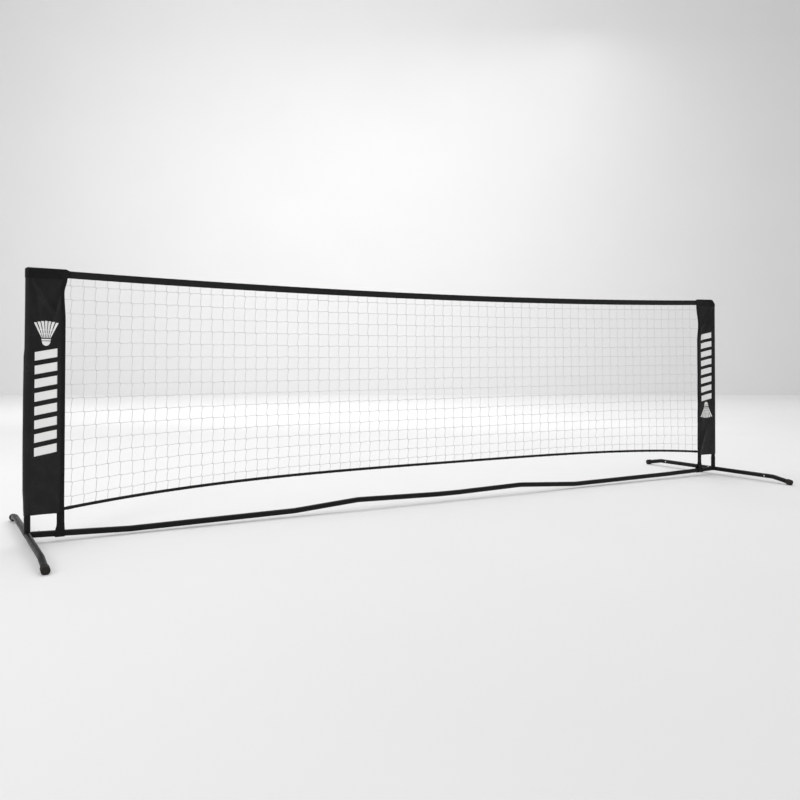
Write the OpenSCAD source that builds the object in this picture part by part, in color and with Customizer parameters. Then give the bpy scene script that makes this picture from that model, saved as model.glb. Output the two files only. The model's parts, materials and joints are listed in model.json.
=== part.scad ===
// Low portable net on a tubular stand. Two feet stand on rubber caps, a ground rail in four
// push-together sections joins them, and two posts hold the net by the sleeves of its side panels.
// Millimetres, +Z up, +X along the net, -Y is the front. The origin is on the floor at the middle.

/* [Net] */
// Distance between the post axes at the feet
net_span = 3000; // [2600:50:3400]
// Height of the fabric's top edge at the posts
net_h = 826.5; // [700:0.5:1000]
// Height of the folded top band
band_h = 22; // [16:1:30]
// Sag of the top band at the middle of the net
band_sag = 22.5; // [5:0.5:60]
// Height of the bottom cord's axis at the middle of the net
cord_mid_z = 149.5; // [130:0.5:200]
// How far the bottom cord's left end hangs below its middle
cord_drop_left = 53; // [10:1:55]
// How far the bottom cord's right end hangs below its middle
cord_drop_right = 38; // [10:1:55]
// Diameter of the bottom cord
cord_d = 10; // [4:0.5:12]

/* [Side panels] */
// Width of a panel from the post's axis to its inner edge
panel_w = 104; // [80:1:140]
// Height of the left panel's bottom edge
panel_bottom_left = 85; // [84:1:100]
// Height of the right panel's bottom edge
panel_bottom_right = 95; // [84:1:100]
// Height of the folded hem along a panel's top
hem_h = 31; // [20:1:45]
// Fall of the panel's top edge from the post to the band
hem_fall = 1; // [0:1:10]
// Width of the slanted corner at the left post's top
corner_run_left = 7; // [4:1:12]
// Height of the slanted corner at the left post's top
corner_fall_left = 5; // [3:1:6]
// Width of the slanted corner at the right post's top
corner_run_right = 21; // [10:1:22]
// Height of the slanted corner at the right post's top
corner_fall_right = 28; // [10:1:29]
// How much lower the right post's top stays than the left one's
post_short = 20; // [0:1:22]
// Width of the strap that ties a panel to the rail
strap_w = 22; // [15:1:30]

/* [Tubes] */
// Outer diameter of the feet, rail and sockets
tube_d = 19; // [18:0.5:20]
// Wall of every tube
tube_wall = 1; // [0.8:0.1:1.2]
// Height of the sockets that the posts stand in
socket_top_z = 82; // [76:1:82]
// Inward lean of the posts, in degrees
post_lean = 0.6; // [0:0.1:1]

/* [Feet] */
// Half length of a foot's centre tube, up to where the arms push on
foot_half = 277; // [240:1:279]
// Distance from the rail to where an arm starts to bend
arm_bend_y = 316; // [314:1:360]
// How far the arms' tips bend down, in degrees
arm_bend = 10; // [8:0.5:14]
// Straight length of an arm past its bend
arm_tip = 80; // [60:1:100]
// Radius of a rubber foot cap
cap_r = 12; // [11:0.5:14]

/* [Ground rail] */
// Distance of the outer rail joints from the middle
joint_x = 700; // [600:10:800]
// Distance of the rail's two low points from the middle
dip_x = 1200; // [1150:10:1250]
// Depth of the left low point below the foot's axis
dip_left = 11; // [3:0.5:12]
// Depth of the right low point below the foot's axis
dip_right = 6; // [3:0.5:12]
// Depth of the left outer joint below the foot's axis
joint_drop_left = 6.5; // [2:0.5:9]
// Depth of the right outer joint below the foot's axis
joint_drop_right = 9; // [2:0.5:9]
// Distance of the rail's left crest from the middle
crest_x_left = 393; // [300:1:450]
// Distance of the rail's right crest from the middle
crest_x_right = 349; // [300:1:450]
// Rise of the left crest above the foot's axis
crest_rise_left = 11.5; // [4:0.5:20]
// Rise of the right crest above the foot's axis
crest_rise_right = 9.5; // [4:0.5:20]
// Rise of the rail at the middle above the foot's axis
mid_rise = 3.5; // [0:0.5:10]

/* [Snap buttons] */
// Diameter of a button's pin
button_d = 5.9; // [5:0.1:6.2]
// Travel of a button
button_travel = 3; // [2.5:0.1:3]

/* [Hidden] */

LEFT = -1;
RIGHT = 1;
FRONT = -1;
BACK = 1;

steel_black = "#1c1c1e";
rubber_black = "#191613";
fabric_black = "#202022";
cord_black = "#101010";
twine_grey = "#d4d5d6";
bright_steel = "#c9cacc";

tube_fn = 48;
small_fn = 32;
joint_gap = 0.3;
fit_gap = 0.1;

// tube radii: outside, inside, and the same for the tubes that push inside
tube_r = tube_d / 2;
bore_r = tube_r - tube_wall;
inner_r = bore_r - fit_gap;
inner_bore_r = inner_r - tube_wall;

// how much thinner a tube is at a bend, and how far the bend reaches into the legs beside it
bend_neck = 0.05;
bend_overlap = 2;

// foot arm: its bend, its push-on length, which ends short of the bend, and its rubber cap
arm_bend_r = 90;
bend_margin = 4;
arm_push = arm_bend_y - foot_half - bend_margin;
cap_end = 4;
cap_grip = 18;
cap_edge = 0.8;
cap_play = 0.05;
sole_depth = 1.2;
arm_drop = arm_bend_r * (1 - cos(arm_bend)) + (arm_tip + cap_end) * sin(arm_bend);
rail_z = arm_drop + cap_r * cos(arm_bend) - sole_depth;

// locating rivets and the notches that they sit in
rivet_y = foot_half + 8;
rivet_head_r = 3.4;
rivet_shank_r = 2;
rivet_out = tube_r + 1.1;
rivet_in = inner_bore_r - 0.8;
rivet_play = 0.05;
notch_r = rivet_head_r + 0.3;

// rail: couplers, spigots, and the vertices of an inner section's line
coupler_half = 45;
spigot_end = 60;
rail_bend_r = 300;
lead_in = 60;
joint_u = net_span / 2 - joint_x;

// snap buttons: their places along the tubes and their shape
foot_button_u = 33;
coupler_button = 20;
post_button_h = 33;
button_r = button_d / 2;
button_hole_r = button_r + 0.05;
button_top = bore_r + button_travel;
button_head_r = button_r + 0.8;
button_head_top = sqrt(pow(inner_bore_r, 2) - pow(button_head_r, 2)) - 0.25;
button_head_t = 1;
leaf_t = 0.6;
leaf_w = 4.4;
leaf_back = 14;
leaf_front = 5;
leaf_top = button_head_top - button_head_t - button_travel - 0.3;
leaf_bottom = -(sqrt(pow(inner_bore_r, 2) - pow(leaf_w / 2, 2)) - 0.15);

// posts and fabric, measured up each post from the foot's axis
socket_top = socket_top_z - rail_z;
socket_start = 4;
weld_gap = 0.2;
post_start = tube_r + 1;
top_h = net_h - rail_z;
sleeve_play = 0.3;
sleeve_wall = 1.75;
cloth_t = 0.8;
panel_r = inner_r + sleeve_play + sleeve_wall;
panel_t = 2 * cloth_t;
hem_skin = 0.9;
hem_roof = 1.2;
webbing_fold = 10;
panel_edge = panel_w + hem_skin + 0.3;
cap_clearance = 1.3;
cap_head = 5;

// straps and tabs
strap_t = 1.5;
strap_u = panel_edge - strap_w / 2;
strap_play = 0.8;
strap_loop_r = tube_r + strap_play + strap_t;
strap_apex = 24;
tab_w = 20;
tab_h = 30;
tab_t = 1.4;
tab_z = rail_z + strap_apex + 2;
tab_y = -(strap_t / 2 + joint_gap + tab_t / 2);

// band, cords and netting between the panels
net_edge = panel_edge + 0.4;
band_half = net_span / 2 - net_edge - top_h * tan(post_lean);
band_t = 4.4;
band_skin = 0.8;
band_end_z = net_h - 18;
headline_r = 1.3;
netting_t = 1;
netting_tuck = 8;
cord_r = cord_d / 2;
cord_curve = 3.3;
cord_half = net_span / 2 - net_edge - 1;
arc_steps = 32;
cord_sides = 8;

// Height of the top band's middle line at x
function band_z(x) = band_end_z - band_sag * (1 - pow(x / band_half, 2));

// Height of the bottom cord's axis at x
function cord_z(x) =
    cord_mid_z - (x < 0 ? cord_drop_left : cord_drop_right) * pow(abs(x) / cord_half, cord_curve);

// Height of a panel's bottom edge above the foot's axis
function panel_low(side) = (side == LEFT ? panel_bottom_left : panel_bottom_right) - rail_z;

// Line of the rail from a foot to the middle, as [distance from the foot, height above its axis]:
// the foot, the low point, the outer joint, the crest and the middle
function rail_line(side) = [
    [0, 0],
    [net_span / 2 - dip_x, -(side == LEFT ? dip_left : dip_right)],
    [joint_u, -(side == LEFT ? joint_drop_left : joint_drop_right)],
    [
        net_span / 2 - (side == LEFT ? crest_x_left : crest_x_right),
        side == LEFT ? crest_rise_left : crest_rise_right
    ],
    [net_span / 2, mid_rise]
];

// Slope of the rail at a foot and at an outer joint, in degrees above local +X
function foot_slope(side) = heading(rail_line(side)[0], rail_line(side)[1]);
function joint_slope(side) = heading(rail_line(side)[1], rail_line(side)[2]);

// Point at a distance past point p in the X-Z plane, at an angle above +X
function beyond(p, angle, distance) = p + distance * [cos(angle), sin(angle)];

// Heights of a post's plastic cap and of the tube under it, above the foot's axis
function cap_top(side) = top_h - hem_roof - cap_clearance - (side == RIGHT ? post_short : 0);
function post_top(side) = cap_top(side) - cap_head;

// Evenly spaced positions from -half to half
function stations(half) = [for (i = [0 : arc_steps]) half * (2 * i / arc_steps - 1)];

// The same list from its end to its start
function reversed(list) = [for (i = [len(list) - 1 : -1 : 0]) list[i]];

// Direction from a to b in the X-Z plane, in degrees above +X
function heading(a, b) = atan2(b[1] - a[1], b[0] - a[0]);

// Turn of a path at its vertex i
function turn_at(path, i) = heading(path[i], path[i + 1]) - heading(path[i - 1], path[i]);

// Length that the bend at vertex i takes from the straight legs beside it
function bend_reach(path, i, bend_r) =
    i == 0 || i == len(path) - 1 ? 0 : bend_r * tan(abs(turn_at(path, i)) / 2);

// Puts a part at a foot, with local +X pointing to the middle of the net
module at_side(side) {
    translate([side * net_span / 2, 0, 0])
        mirror([side > 0 ? 1 : 0, 0, 0])
            children();
}

// Frame of a leaning post: +Z up its axis, from the foot's axis
module leaning() {
    translate([0, 0, rail_z])
        rotate([0, post_lean, 0])
            children();
}

// Frame of the rail at a foot: +X along its axis, from the foot's axis
module drooping(side) {
    translate([0, 0, rail_z])
        rotate([0, -foot_slope(side), 0])
            children();
}

// Frame of the rail at an outer joint: +X along its axis, from the joint
module at_joint(side) {
    at_side(side)
        translate([joint_u, 0, rail_z + rail_line(side)[2][1]])
            rotate([0, -joint_slope(side), 0])
                children();
}

// Frame of a foot arm: +X out along the arm, +Y towards the middle of the net
module at_arm(side, end) {
    at_side(side)
        translate([0, 0, rail_z])
            mirror([0, end > 0 ? 1 : 0, 0])
                rotate([0, 0, -90])
                    children();
}

// Frames of the snap buttons: +X along the tube, +Z outwards through the button
module at_foot_button(side) {
    at_side(side)
        drooping(side)
            translate([foot_button_u, 0, 0])
                children();
}

module at_rail_button(side) {
    at_joint(side)
        translate([-coupler_button, 0, 0])
            rotate([-90, 0, 0])
                children();
}

module at_middle_button() {
    translate([coupler_button, 0, rail_z + mid_rise])
        rotate([-90, 0, 0])
            children();
}

module at_post_button(side) {
    at_side(side)
        leaning()
            translate([0, 0, post_button_h])
                rotate([0, -90, -90])
                    children();
}

// Straight tube along +X from start to end
module tube_x(start, end, r_out, r_in) {
    difference() {
        rod_x(start, end, r_out);
        rod_x(start - 1, end + 1, r_in);
    }
}

// Straight rod along +X from start to end
module rod_x(start, end, r) {
    translate([start, 0, 0])
        rotate([0, 90, 0])
            cylinder(r = r, h = end - start, $fn = tube_fn);
}

// Rod through the vertices of a path in the X-Z plane, bent at each inner vertex. The bends are
// a hair thinner than the legs and start inside them.
module bent_rod(path, bend_r, r, past_ends) {
    last = len(path) - 2;
    for (i = [0 : last]) {
        leg = heading(path[i], path[i + 1]);
        start = i == 0 ? -past_ends : bend_reach(path, i, bend_r);
        leg_end = norm(path[i + 1] - path[i]) - bend_reach(path, i + 1, bend_r);
        end = i == last ? leg_end + past_ends : leg_end;
        translate([path[i][0], 0, path[i][1]])
            rotate([0, -leg, 0]) {
                rod_x(start, end, r);
                if (i < last)
                    translate([end, 0, 0])
                        rod_bend(turn_at(path, i + 1), bend_r, r - bend_neck);
            }
    }
}

// Bend that starts at the origin along +X and turns up, or down if turn is negative
module rod_bend(turn, bend_r, r) {
    overlap_angle = bend_overlap / bend_r * 180 / PI;
    rotate([90, 0, 0])
        mirror([0, turn < 0 ? 1 : 0, 0])
            translate([0, bend_r, 0])
                rotate([0, 0, -90 - overlap_angle])
                    rotate_extrude(angle = abs(turn) + 2 * overlap_angle, $fn = 360)
                        translate([bend_r, 0])
                            circle(r = r, $fn = tube_fn);
}

// Tube through the vertices of a path in the X-Z plane
module bent_tube(path, bend_r, r_out, r_in) {
    difference() {
        bent_rod(path, bend_r, r_out, 0);
        bent_rod(path, bend_r, r_in, 1);
    }
}

// Hole for a snap button through a tube wall, in the button's own frame
module button_hole() {
    cylinder(r = button_hole_r, h = tube_r + 2, $fn = small_fn);
}

// Pin with a domed top and a flange that keeps it inside the tube
module snap_button() {
    dome = 0.8;
    color(bright_steel)
        rotate_extrude($fn = small_fn)
            polygon([
                [0, button_head_top - button_head_t],
                [button_head_r, button_head_top - button_head_t],
                [button_head_r, button_head_top],
                [button_r, button_head_top],
                [button_r, button_top - dome],
                [button_r * 0.87, button_top - dome * 0.5],
                [button_r * 0.5, button_top - dome * 0.13],
                [0, button_top]
            ]);
}

// Folded leaf spring behind a button: one leg under the pin, one on the far wall
module leaf_spring() {
    fold_r = (leaf_top - leaf_bottom) / 2;
    fold_z = leaf_bottom + fold_r;
    fold = [90 : 15 : 270];
    outline = concat(
        [[leaf_front, leaf_top]],
        [for (a = fold) [fold_r * cos(a) - leaf_back, fold_r * sin(a) + fold_z]],
        [[leaf_front, leaf_bottom], [leaf_front, leaf_bottom + leaf_t]],
        reversed([
            for (a = fold)
                [(fold_r - leaf_t) * cos(a) - leaf_back, (fold_r - leaf_t) * sin(a) + fold_z]
        ]),
        [[leaf_front, leaf_top - leaf_t]]
    );
    translate([0, leaf_w / 2, 0])
        rotate([90, 0, 0])
            linear_extrude(leaf_w)
                polygon(outline);
}

// Centre tube of a foot: its ends are swaged down so that the arms push over them
module foot_tube(side) {
    neck = 4;
    spigot_tip = foot_half + arm_push;
    color(steel_black)
        at_side(side)
            translate([0, 0, rail_z])
                difference() {
                    rotate([90, 0, 0])
                        rotate_extrude($fn = tube_fn)
                            polygon([
                                [bore_r, -foot_half + neck], [bore_r, foot_half - neck],
                                [inner_bore_r, foot_half - neck + tube_wall],
                                [inner_bore_r, spigot_tip], [inner_r, spigot_tip],
                                [inner_r, foot_half], [tube_r, foot_half],
                                [tube_r, -foot_half], [inner_r, -foot_half],
                                [inner_r, -spigot_tip], [inner_bore_r, -spigot_tip],
                                [inner_bore_r, -foot_half + neck - tube_wall]
                            ]);
                    for (y = [-rivet_y, rivet_y])
                        translate([0, y, 0])
                            rotate([0, 90, 0])
                                cylinder(r = rivet_shank_r + rivet_play, h = tube_r, $fn = small_fn);
                }
}

// Upright socket welded on top of a foot
module post_socket(side) {
    color(steel_black)
        at_side(side)
            difference() {
                leaning()
                    difference() {
                        translate([0, 0, socket_start])
                            cylinder(r = tube_r, h = socket_top - socket_start, $fn = tube_fn);
                        cylinder(r = bore_r, h = socket_top + 1, $fn = tube_fn);
                        translate([0, 0, post_button_h])
                            rotate([0, -90, -90])
                                button_hole();
                    }
                foot_clearance();
            }
}

// Stub welded to the inner side of a foot, which the rail pushes over
module rail_spigot(side) {
    color(steel_black)
        at_side(side)
            difference() {
                drooping(side)
                    difference() {
                        tube_x(0, spigot_end, inner_r, inner_bore_r);
                        translate([foot_button_u, 0, 0])
                            button_hole();
                    }
                foot_clearance();
                leaning()
                    cylinder(r = tube_r + weld_gap, h = socket_top, $fn = tube_fn);
            }
}

// The space of a foot's centre tube, which the welded parts are saddle-cut to
module foot_clearance() {
    translate([0, tube_d, rail_z])
        rotate([90, 0, 0])
            cylinder(r = tube_r, h = 2 * tube_d, $fn = tube_fn);
}

// Bent foot arm, with a notch in its mouth for the locating rivet
module foot_arm(side, end) {
    bend_vertex = arm_bend_y + arm_bend_r * tan(arm_bend / 2);
    tip_run = arm_tip + arm_bend_r * tan(arm_bend / 2);
    line = [
        [foot_half + joint_gap, 0],
        [bend_vertex, 0],
        [bend_vertex + tip_run * cos(arm_bend), -tip_run * sin(arm_bend)]
    ];
    color(steel_black)
        at_arm(side, end)
            difference() {
                bent_tube(line, arm_bend_r, tube_r, bore_r);
                translate([rivet_y, 0, 0])
                    rotate([-90, 0, 0])
                        cylinder(r = notch_r, h = 2 * tube_r, $fn = small_fn);
                translate([foot_half - 1, 0, -notch_r])
                    cube([rivet_y - foot_half + 1, 2 * tube_r, 2 * notch_r]);
            }
}

// Rubber cap on an arm's tip, with a flat sole
module foot_cap(side, end) {
    tip_y = arm_bend_y + arm_bend_r * sin(arm_bend) + arm_tip * cos(arm_bend);
    tip_z = -arm_bend_r * (1 - cos(arm_bend)) - arm_tip * sin(arm_bend);
    reach = 2 * cap_r;
    color(rubber_black)
        difference() {
            at_arm(side, end)
                translate([tip_y, 0, tip_z])
                    rotate([0, 90 + arm_bend, 0])
                        rotate_extrude($fn = tube_fn)
                            polygon([
                                [0, 0.1], [tube_r + cap_play, 0.1],
                                [tube_r + cap_play, -cap_grip],
                                [cap_r - 2 * cap_edge, -cap_grip], [cap_r - cap_edge, cap_edge - cap_grip],
                                [cap_r, 3 * cap_edge - cap_grip], [cap_r, cap_end - cap_edge],
                                [cap_r - cap_edge, cap_end], [0, cap_end]
                            ]);
            translate([side * net_span / 2 - reach, -arm_bend_y * 2, -reach])
                cube([2 * reach, arm_bend_y * 4, reach]);
        }
}

// Rivets that the arms' notches sit against
module arm_rivets(side) {
    dome = 0.7;
    head_base = inner_r + joint_gap / 4;
    color(bright_steel)
        for (end = [FRONT, BACK])
            at_arm(side, end)
                translate([rivet_y, 0, 0])
                    rotate([-90, 0, 0])
                        rotate_extrude($fn = small_fn)
                            polygon([
                                [0, rivet_in], [rivet_shank_r, rivet_in],
                                [rivet_shank_r, head_base], [rivet_head_r, head_base],
                                [rivet_head_r, rivet_out - dome],
                                [rivet_head_r * 0.7, rivet_out - dome * 0.3], [0, rivet_out]
                            ]);
}

// Outer section of the ground rail, bent at its low point
module rail_outer(side) {
    turns = rail_line(side);
    line = [
        beyond(turns[0], foot_slope(side), tube_r + 2),
        turns[1],
        beyond(turns[2], joint_slope(side), -joint_gap / 2)
    ];
    color(steel_black)
        difference() {
            at_side(side)
                translate([0, 0, rail_z])
                    bent_tube(line, rail_bend_r, tube_r, bore_r);
            at_foot_button(side)
                button_hole();
            at_rail_button(side)
                button_hole();
        }
}

// Inner section of the ground rail, bent up to a crest and down to the middle
module rail_inner(side) {
    turns = rail_line(side);
    line = [
        beyond(turns[2], joint_slope(side), joint_gap / 2),
        beyond(turns[2], joint_slope(side), lead_in),
        turns[3],
        beyond(turns[4], 0, -lead_in + 10),
        beyond(turns[4], 0, -joint_gap / 2)
    ];
    color(steel_black)
        difference() {
            at_side(side)
                translate([0, 0, rail_z])
                    bent_tube(line, rail_bend_r, tube_r, bore_r);
            if (side == RIGHT)
                at_middle_button()
                    button_hole();
        }
}

// Tube inside a rail joint, with the hole for its snap button
module rail_coupler(side) {
    color(bright_steel)
        difference() {
            at_joint(side)
                tube_x(-coupler_half, coupler_half, inner_r, inner_bore_r);
            at_rail_button(side)
                button_hole();
        }
}

module rail_coupler_middle() {
    color(bright_steel)
        difference() {
            translate([0, 0, rail_z + mid_rise])
                tube_x(-coupler_half, coupler_half, inner_r, inner_bore_r);
            at_middle_button()
                button_hole();
        }
}

// Leaf springs behind all the buttons
module button_springs() {
    color(bright_steel) {
        for (side = [LEFT, RIGHT]) {
            at_foot_button(side)
                leaf_spring();
            at_rail_button(side)
                leaf_spring();
            at_post_button(side)
                mirror([1, 0, 0])
                    leaf_spring();
        }
        at_middle_button()
            leaf_spring();
    }
}

// Post that stands in a foot's socket inside the panel's sleeve
module post(side) {
    color(steel_black)
        at_side(side)
            leaning()
                difference() {
                    translate([0, 0, post_start])
                        cylinder(r = inner_r, h = post_top(side) - post_start, $fn = tube_fn);
                    translate([0, 0, post_start - 1])
                        cylinder(r = inner_bore_r, h = top_h, $fn = tube_fn);
                    translate([0, 0, post_button_h])
                        rotate([0, -90, -90])
                            button_hole();
                }
}

// Plastic plug with a rounded top that the sleeve hangs on
module post_cap(side) {
    plug_len = 16;
    plug_r = inner_bore_r - 0.05;
    color(steel_black)
        at_side(side)
            leaning()
                translate([0, 0, post_top(side)])
                    rotate_extrude($fn = tube_fn)
                        polygon([
                            [0, -plug_len], [plug_r - 0.6, -plug_len], [plug_r, 1 - plug_len],
                            [plug_r, 0.1], [inner_r, 0.1],
                            [inner_r, cap_head - 3], [inner_r * 0.87, cap_head - 1.5],
                            [inner_r * 0.5, cap_head - 0.4], [0, cap_head]
                        ]);
}

// Plan of a sleeved panel: a round sleeve on the post's axis and a flat leaf towards +X
module sleeve_plan(sleeve_r, leaf_thick, leaf_len) {
    circle(r = sleeve_r, $fn = tube_fn);
    translate([0, -leaf_thick / 2])
        square([leaf_len, leaf_thick]);
}

// Block under the panel's falling top edge and slanted corner, from height low up to cut below them
module under_top_edge(side, low, cut) {
    reach = panel_r + 5;
    far = panel_edge + 5;
    slope = hem_fall / panel_w;
    outside = -panel_r - hem_skin;
    corner = outside + (side == LEFT ? corner_run_left : corner_run_right);
    corner_fall = side == LEFT ? corner_fall_left : corner_fall_right;
    translate([0, reach, 0])
        rotate([90, 0, 0])
            linear_extrude(2 * reach)
                polygon([
                    [-reach, low], [far, low],
                    [far, top_h - cut - far * slope],
                    [corner, top_h - cut - max(0, corner) * slope],
                    [outside, top_h - cut - corner_fall],
                    [-reach, top_h - cut - corner_fall]
                ]);
}

// Cloth side panel: a sleeve over the post and a double leaf towards the net
module side_panel(side) {
    color(fabric_black)
        at_side(side)
            leaning()
                intersection() {
                    difference() {
                        linear_extrude(top_h)
                            sleeve_plan(panel_r, panel_t, panel_w);
                        cylinder(r = inner_r + sleeve_play, h = top_h, $fn = tube_fn);
                    }
                    under_top_edge(side, panel_low(side), hem_roof);
                }
}

// Folded hem that closes a panel's top
module panel_hem(side) {
    color(fabric_black)
        at_side(side)
            leaning()
                difference() {
                    intersection() {
                        linear_extrude(top_h)
                            sleeve_plan(panel_r + hem_skin, panel_t + 2 * hem_skin, panel_edge);
                        under_top_edge(side, top_h - hem_h, 0);
                    }
                    intersection() {
                        linear_extrude(top_h)
                            sleeve_plan(panel_r, panel_t, panel_w);
                        under_top_edge(side, 0, hem_roof);
                    }
                }
}

// Webbing folded over a panel's inner edge
module edge_webbing(side) {
    webbing_h = top_h - hem_h - panel_low(side) - joint_gap;
    color(fabric_black)
        at_side(side)
            leaning()
                translate([panel_edge - webbing_fold, 0, panel_low(side)])
                    difference() {
                        translate([0, -panel_t / 2 - hem_skin, 0])
                            cube([webbing_fold, panel_t + 2 * hem_skin, webbing_h]);
                        translate([-1, -panel_t / 2, -1])
                            cube([panel_w - panel_edge + webbing_fold + 1, panel_t, webbing_h + 2]);
                    }
}

// Outline of a round loop with a pointed top, its point at height apex
function teardrop(r, apex) =
    let (side_angle = asin(r / apex), steps = 24)
    concat(
        [[0, apex]],
        [
            for (i = [0 : steps])
                let (a = 180 - side_angle + (180 + 2 * side_angle) * i / steps)
                [r * cos(a), r * sin(a)]
        ]
    );

// Strap from a panel's bottom corner, looped round the rail
module rail_strap(side) {
    inner_loop_r = strap_loop_r - strap_t;
    rail_drop = -strap_u * tan(foot_slope(side));
    strap_gap = panel_edge * sin(post_lean) + joint_gap;
    color(fabric_black)
        at_side(side)
            translate([strap_u - strap_w / 2, 0, rail_z - rail_drop])
                rotate([90, 0, 90])
                    linear_extrude(strap_w)
                        difference() {
                            union() {
                                polygon(teardrop(strap_loop_r, strap_apex));
                                translate([-strap_t / 2, 0])
                                    square([strap_t, panel_low(side) + rail_drop - strap_gap]);
                            }
                            polygon(
                                teardrop(inner_loop_r, strap_apex * inner_loop_r / strap_loop_r)
                            );
                        }
}

// Hook-and-loop end of a strap, pressed on to the strap's front
module strap_tab(side) {
    corner_r = 3;
    color(fabric_black)
        at_side(side)
            translate([strap_u, tab_y + tab_t / 2, tab_z])
                rotate([90, 0, 0])
                    linear_extrude(tab_t) {
                        translate([-tab_w / 2, 0])
                            square([tab_w, tab_h - corner_r]);
                        translate([-tab_w / 2 + corner_r, tab_h - 2 * corner_r])
                            square([tab_w - 2 * corner_r, 2 * corner_r]);
                        for (x = [-tab_w / 2 + corner_r, tab_w / 2 - corner_r])
                            translate([x, tab_h - corner_r])
                                circle(r = corner_r, $fn = small_fn);
                    }
}

// Sheet in the X-Z plane, centred on Y, between two lists of edge points
module upright_sheet(top_edge, bottom_edge, thick) {
    translate([0, thick / 2, 0])
        rotate([90, 0, 0])
            linear_extrude(thick)
                polygon(concat(top_edge, reversed(bottom_edge)));
}

// Folded band along the net's top, open below for the netting
module top_band() {
    xs = stations(band_half);
    slot_xs = stations(band_half + 1);
    color(fabric_black)
        difference() {
            upright_sheet(
                [for (x = xs) [x, band_z(x) + band_h / 2]],
                [for (x = xs) [x, band_z(x) - band_h / 2]],
                band_t
            );
            upright_sheet(
                [for (x = slot_xs) [x, band_z(x) + band_h / 2 - band_skin]],
                [for (x = slot_xs) [x, band_z(x) - band_h / 2 - 1]],
                band_t - 2 * band_skin
            );
        }
}

// Tube along points [x, z] in the X-Z plane
module cord_along(points, r) {
    last = len(points) - 1;
    rings = [
        for (i = [0 : last])
            let (
                slope = heading(points[max(i - 1, 0)], points[min(i + 1, last)]),
                up = [-sin(slope), 0, cos(slope)],
                centre = [points[i][0], 0, points[i][1]]
            )
            for (k = [0 : cord_sides - 1])
                let (a = 360 * (k + 0.5) / cord_sides)
                centre + r * (cos(a) * [0, 1, 0] + sin(a) * up)
    ];
    walls = [
        for (i = [0 : last - 1])
            for (k = [0 : cord_sides - 1])
                let (next = (k + 1) % cord_sides, ring = i * cord_sides)
                [ring + k, ring + next, ring + cord_sides + next, ring + cord_sides + k]
    ];
    start_face = [for (k = [cord_sides - 1 : -1 : 0]) k];
    end_face = [for (k = [0 : cord_sides - 1]) last * cord_sides + k];
    polyhedron(points = rings, faces = concat(walls, [start_face, end_face]), convexity = 4);
}

// Cord inside the band's fold
module headline_cord() {
    lift = band_h / 2 - band_skin - headline_r - fit_gap;
    color(cord_black)
        cord_along([for (x = stations(band_half - 1)) [x, band_z(x) + lift]], headline_r);
}

// Cord along the bottom of the netting
module bottom_cord() {
    color(cord_black)
        cord_along([for (x = stations(cord_half)) [x, cord_z(x)]], cord_r);
}

// Square-mesh netting, as one thin sheet that follows the band and the bottom cord
module netting() {
    low = net_span / 2 - net_edge - (panel_low(RIGHT) + 20) * tan(post_lean);
    high = band_half - 0.1;
    rise = cord_r + fit_gap;
    color(twine_grey)
        upright_sheet(
            [for (x = stations(high)) [x, band_z(x) - band_h / 2 + netting_tuck]],
            [for (x = stations(low)) [x, cord_z(x) + rise]],
            netting_t
        );
}

foot_tube(LEFT);  // foot_tube_left
foot_tube(RIGHT);  // foot_tube_right
post_socket(LEFT);  // post_socket_left
post_socket(RIGHT);  // post_socket_right
rail_spigot(LEFT);  // rail_spigot_left
rail_spigot(RIGHT);  // rail_spigot_right
foot_arm(LEFT, FRONT);  // foot_arm_front_left
foot_arm(LEFT, BACK);  // foot_arm_back_left
foot_arm(RIGHT, FRONT);  // foot_arm_front_right
foot_arm(RIGHT, BACK);  // foot_arm_back_right
foot_cap(LEFT, FRONT);  // foot_cap_front_left
foot_cap(LEFT, BACK);  // foot_cap_back_left
foot_cap(RIGHT, FRONT);  // foot_cap_front_right
foot_cap(RIGHT, BACK);  // foot_cap_back_right
arm_rivets(LEFT);  // arm_rivets_left
arm_rivets(RIGHT);  // arm_rivets_right
rail_outer(LEFT);  // rail_outer_left
rail_inner(LEFT);  // rail_inner_left
rail_inner(RIGHT);  // rail_inner_right
rail_outer(RIGHT);  // rail_outer_right
rail_coupler(LEFT);  // rail_coupler_left
rail_coupler_middle();
rail_coupler(RIGHT);  // rail_coupler_right
at_foot_button(LEFT) snap_button();  // foot_button_left
at_foot_button(RIGHT) snap_button();  // foot_button_right
at_rail_button(LEFT) snap_button();  // rail_button_left
at_middle_button() snap_button();  // rail_button_middle
at_rail_button(RIGHT) snap_button();  // rail_button_right
at_post_button(LEFT) snap_button();  // post_button_left
at_post_button(RIGHT) snap_button();  // post_button_right
button_springs();
post(LEFT);  // post_left
post(RIGHT);  // post_right
post_cap(LEFT);  // post_cap_left
post_cap(RIGHT);  // post_cap_right
side_panel(LEFT);  // side_panel_left
side_panel(RIGHT);  // side_panel_right
panel_hem(LEFT);  // panel_hem_left
panel_hem(RIGHT);  // panel_hem_right
edge_webbing(LEFT);  // edge_webbing_left
edge_webbing(RIGHT);  // edge_webbing_right
rail_strap(LEFT);  // rail_strap_left
rail_strap(RIGHT);  // rail_strap_right
strap_tab(LEFT);  // strap_tab_left
strap_tab(RIGHT);  // strap_tab_right
top_band();
headline_cord();
netting();
bottom_cord();
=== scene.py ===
"""Looks of a low portable net on a tubular stand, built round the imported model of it."""

import json
import math

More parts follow.
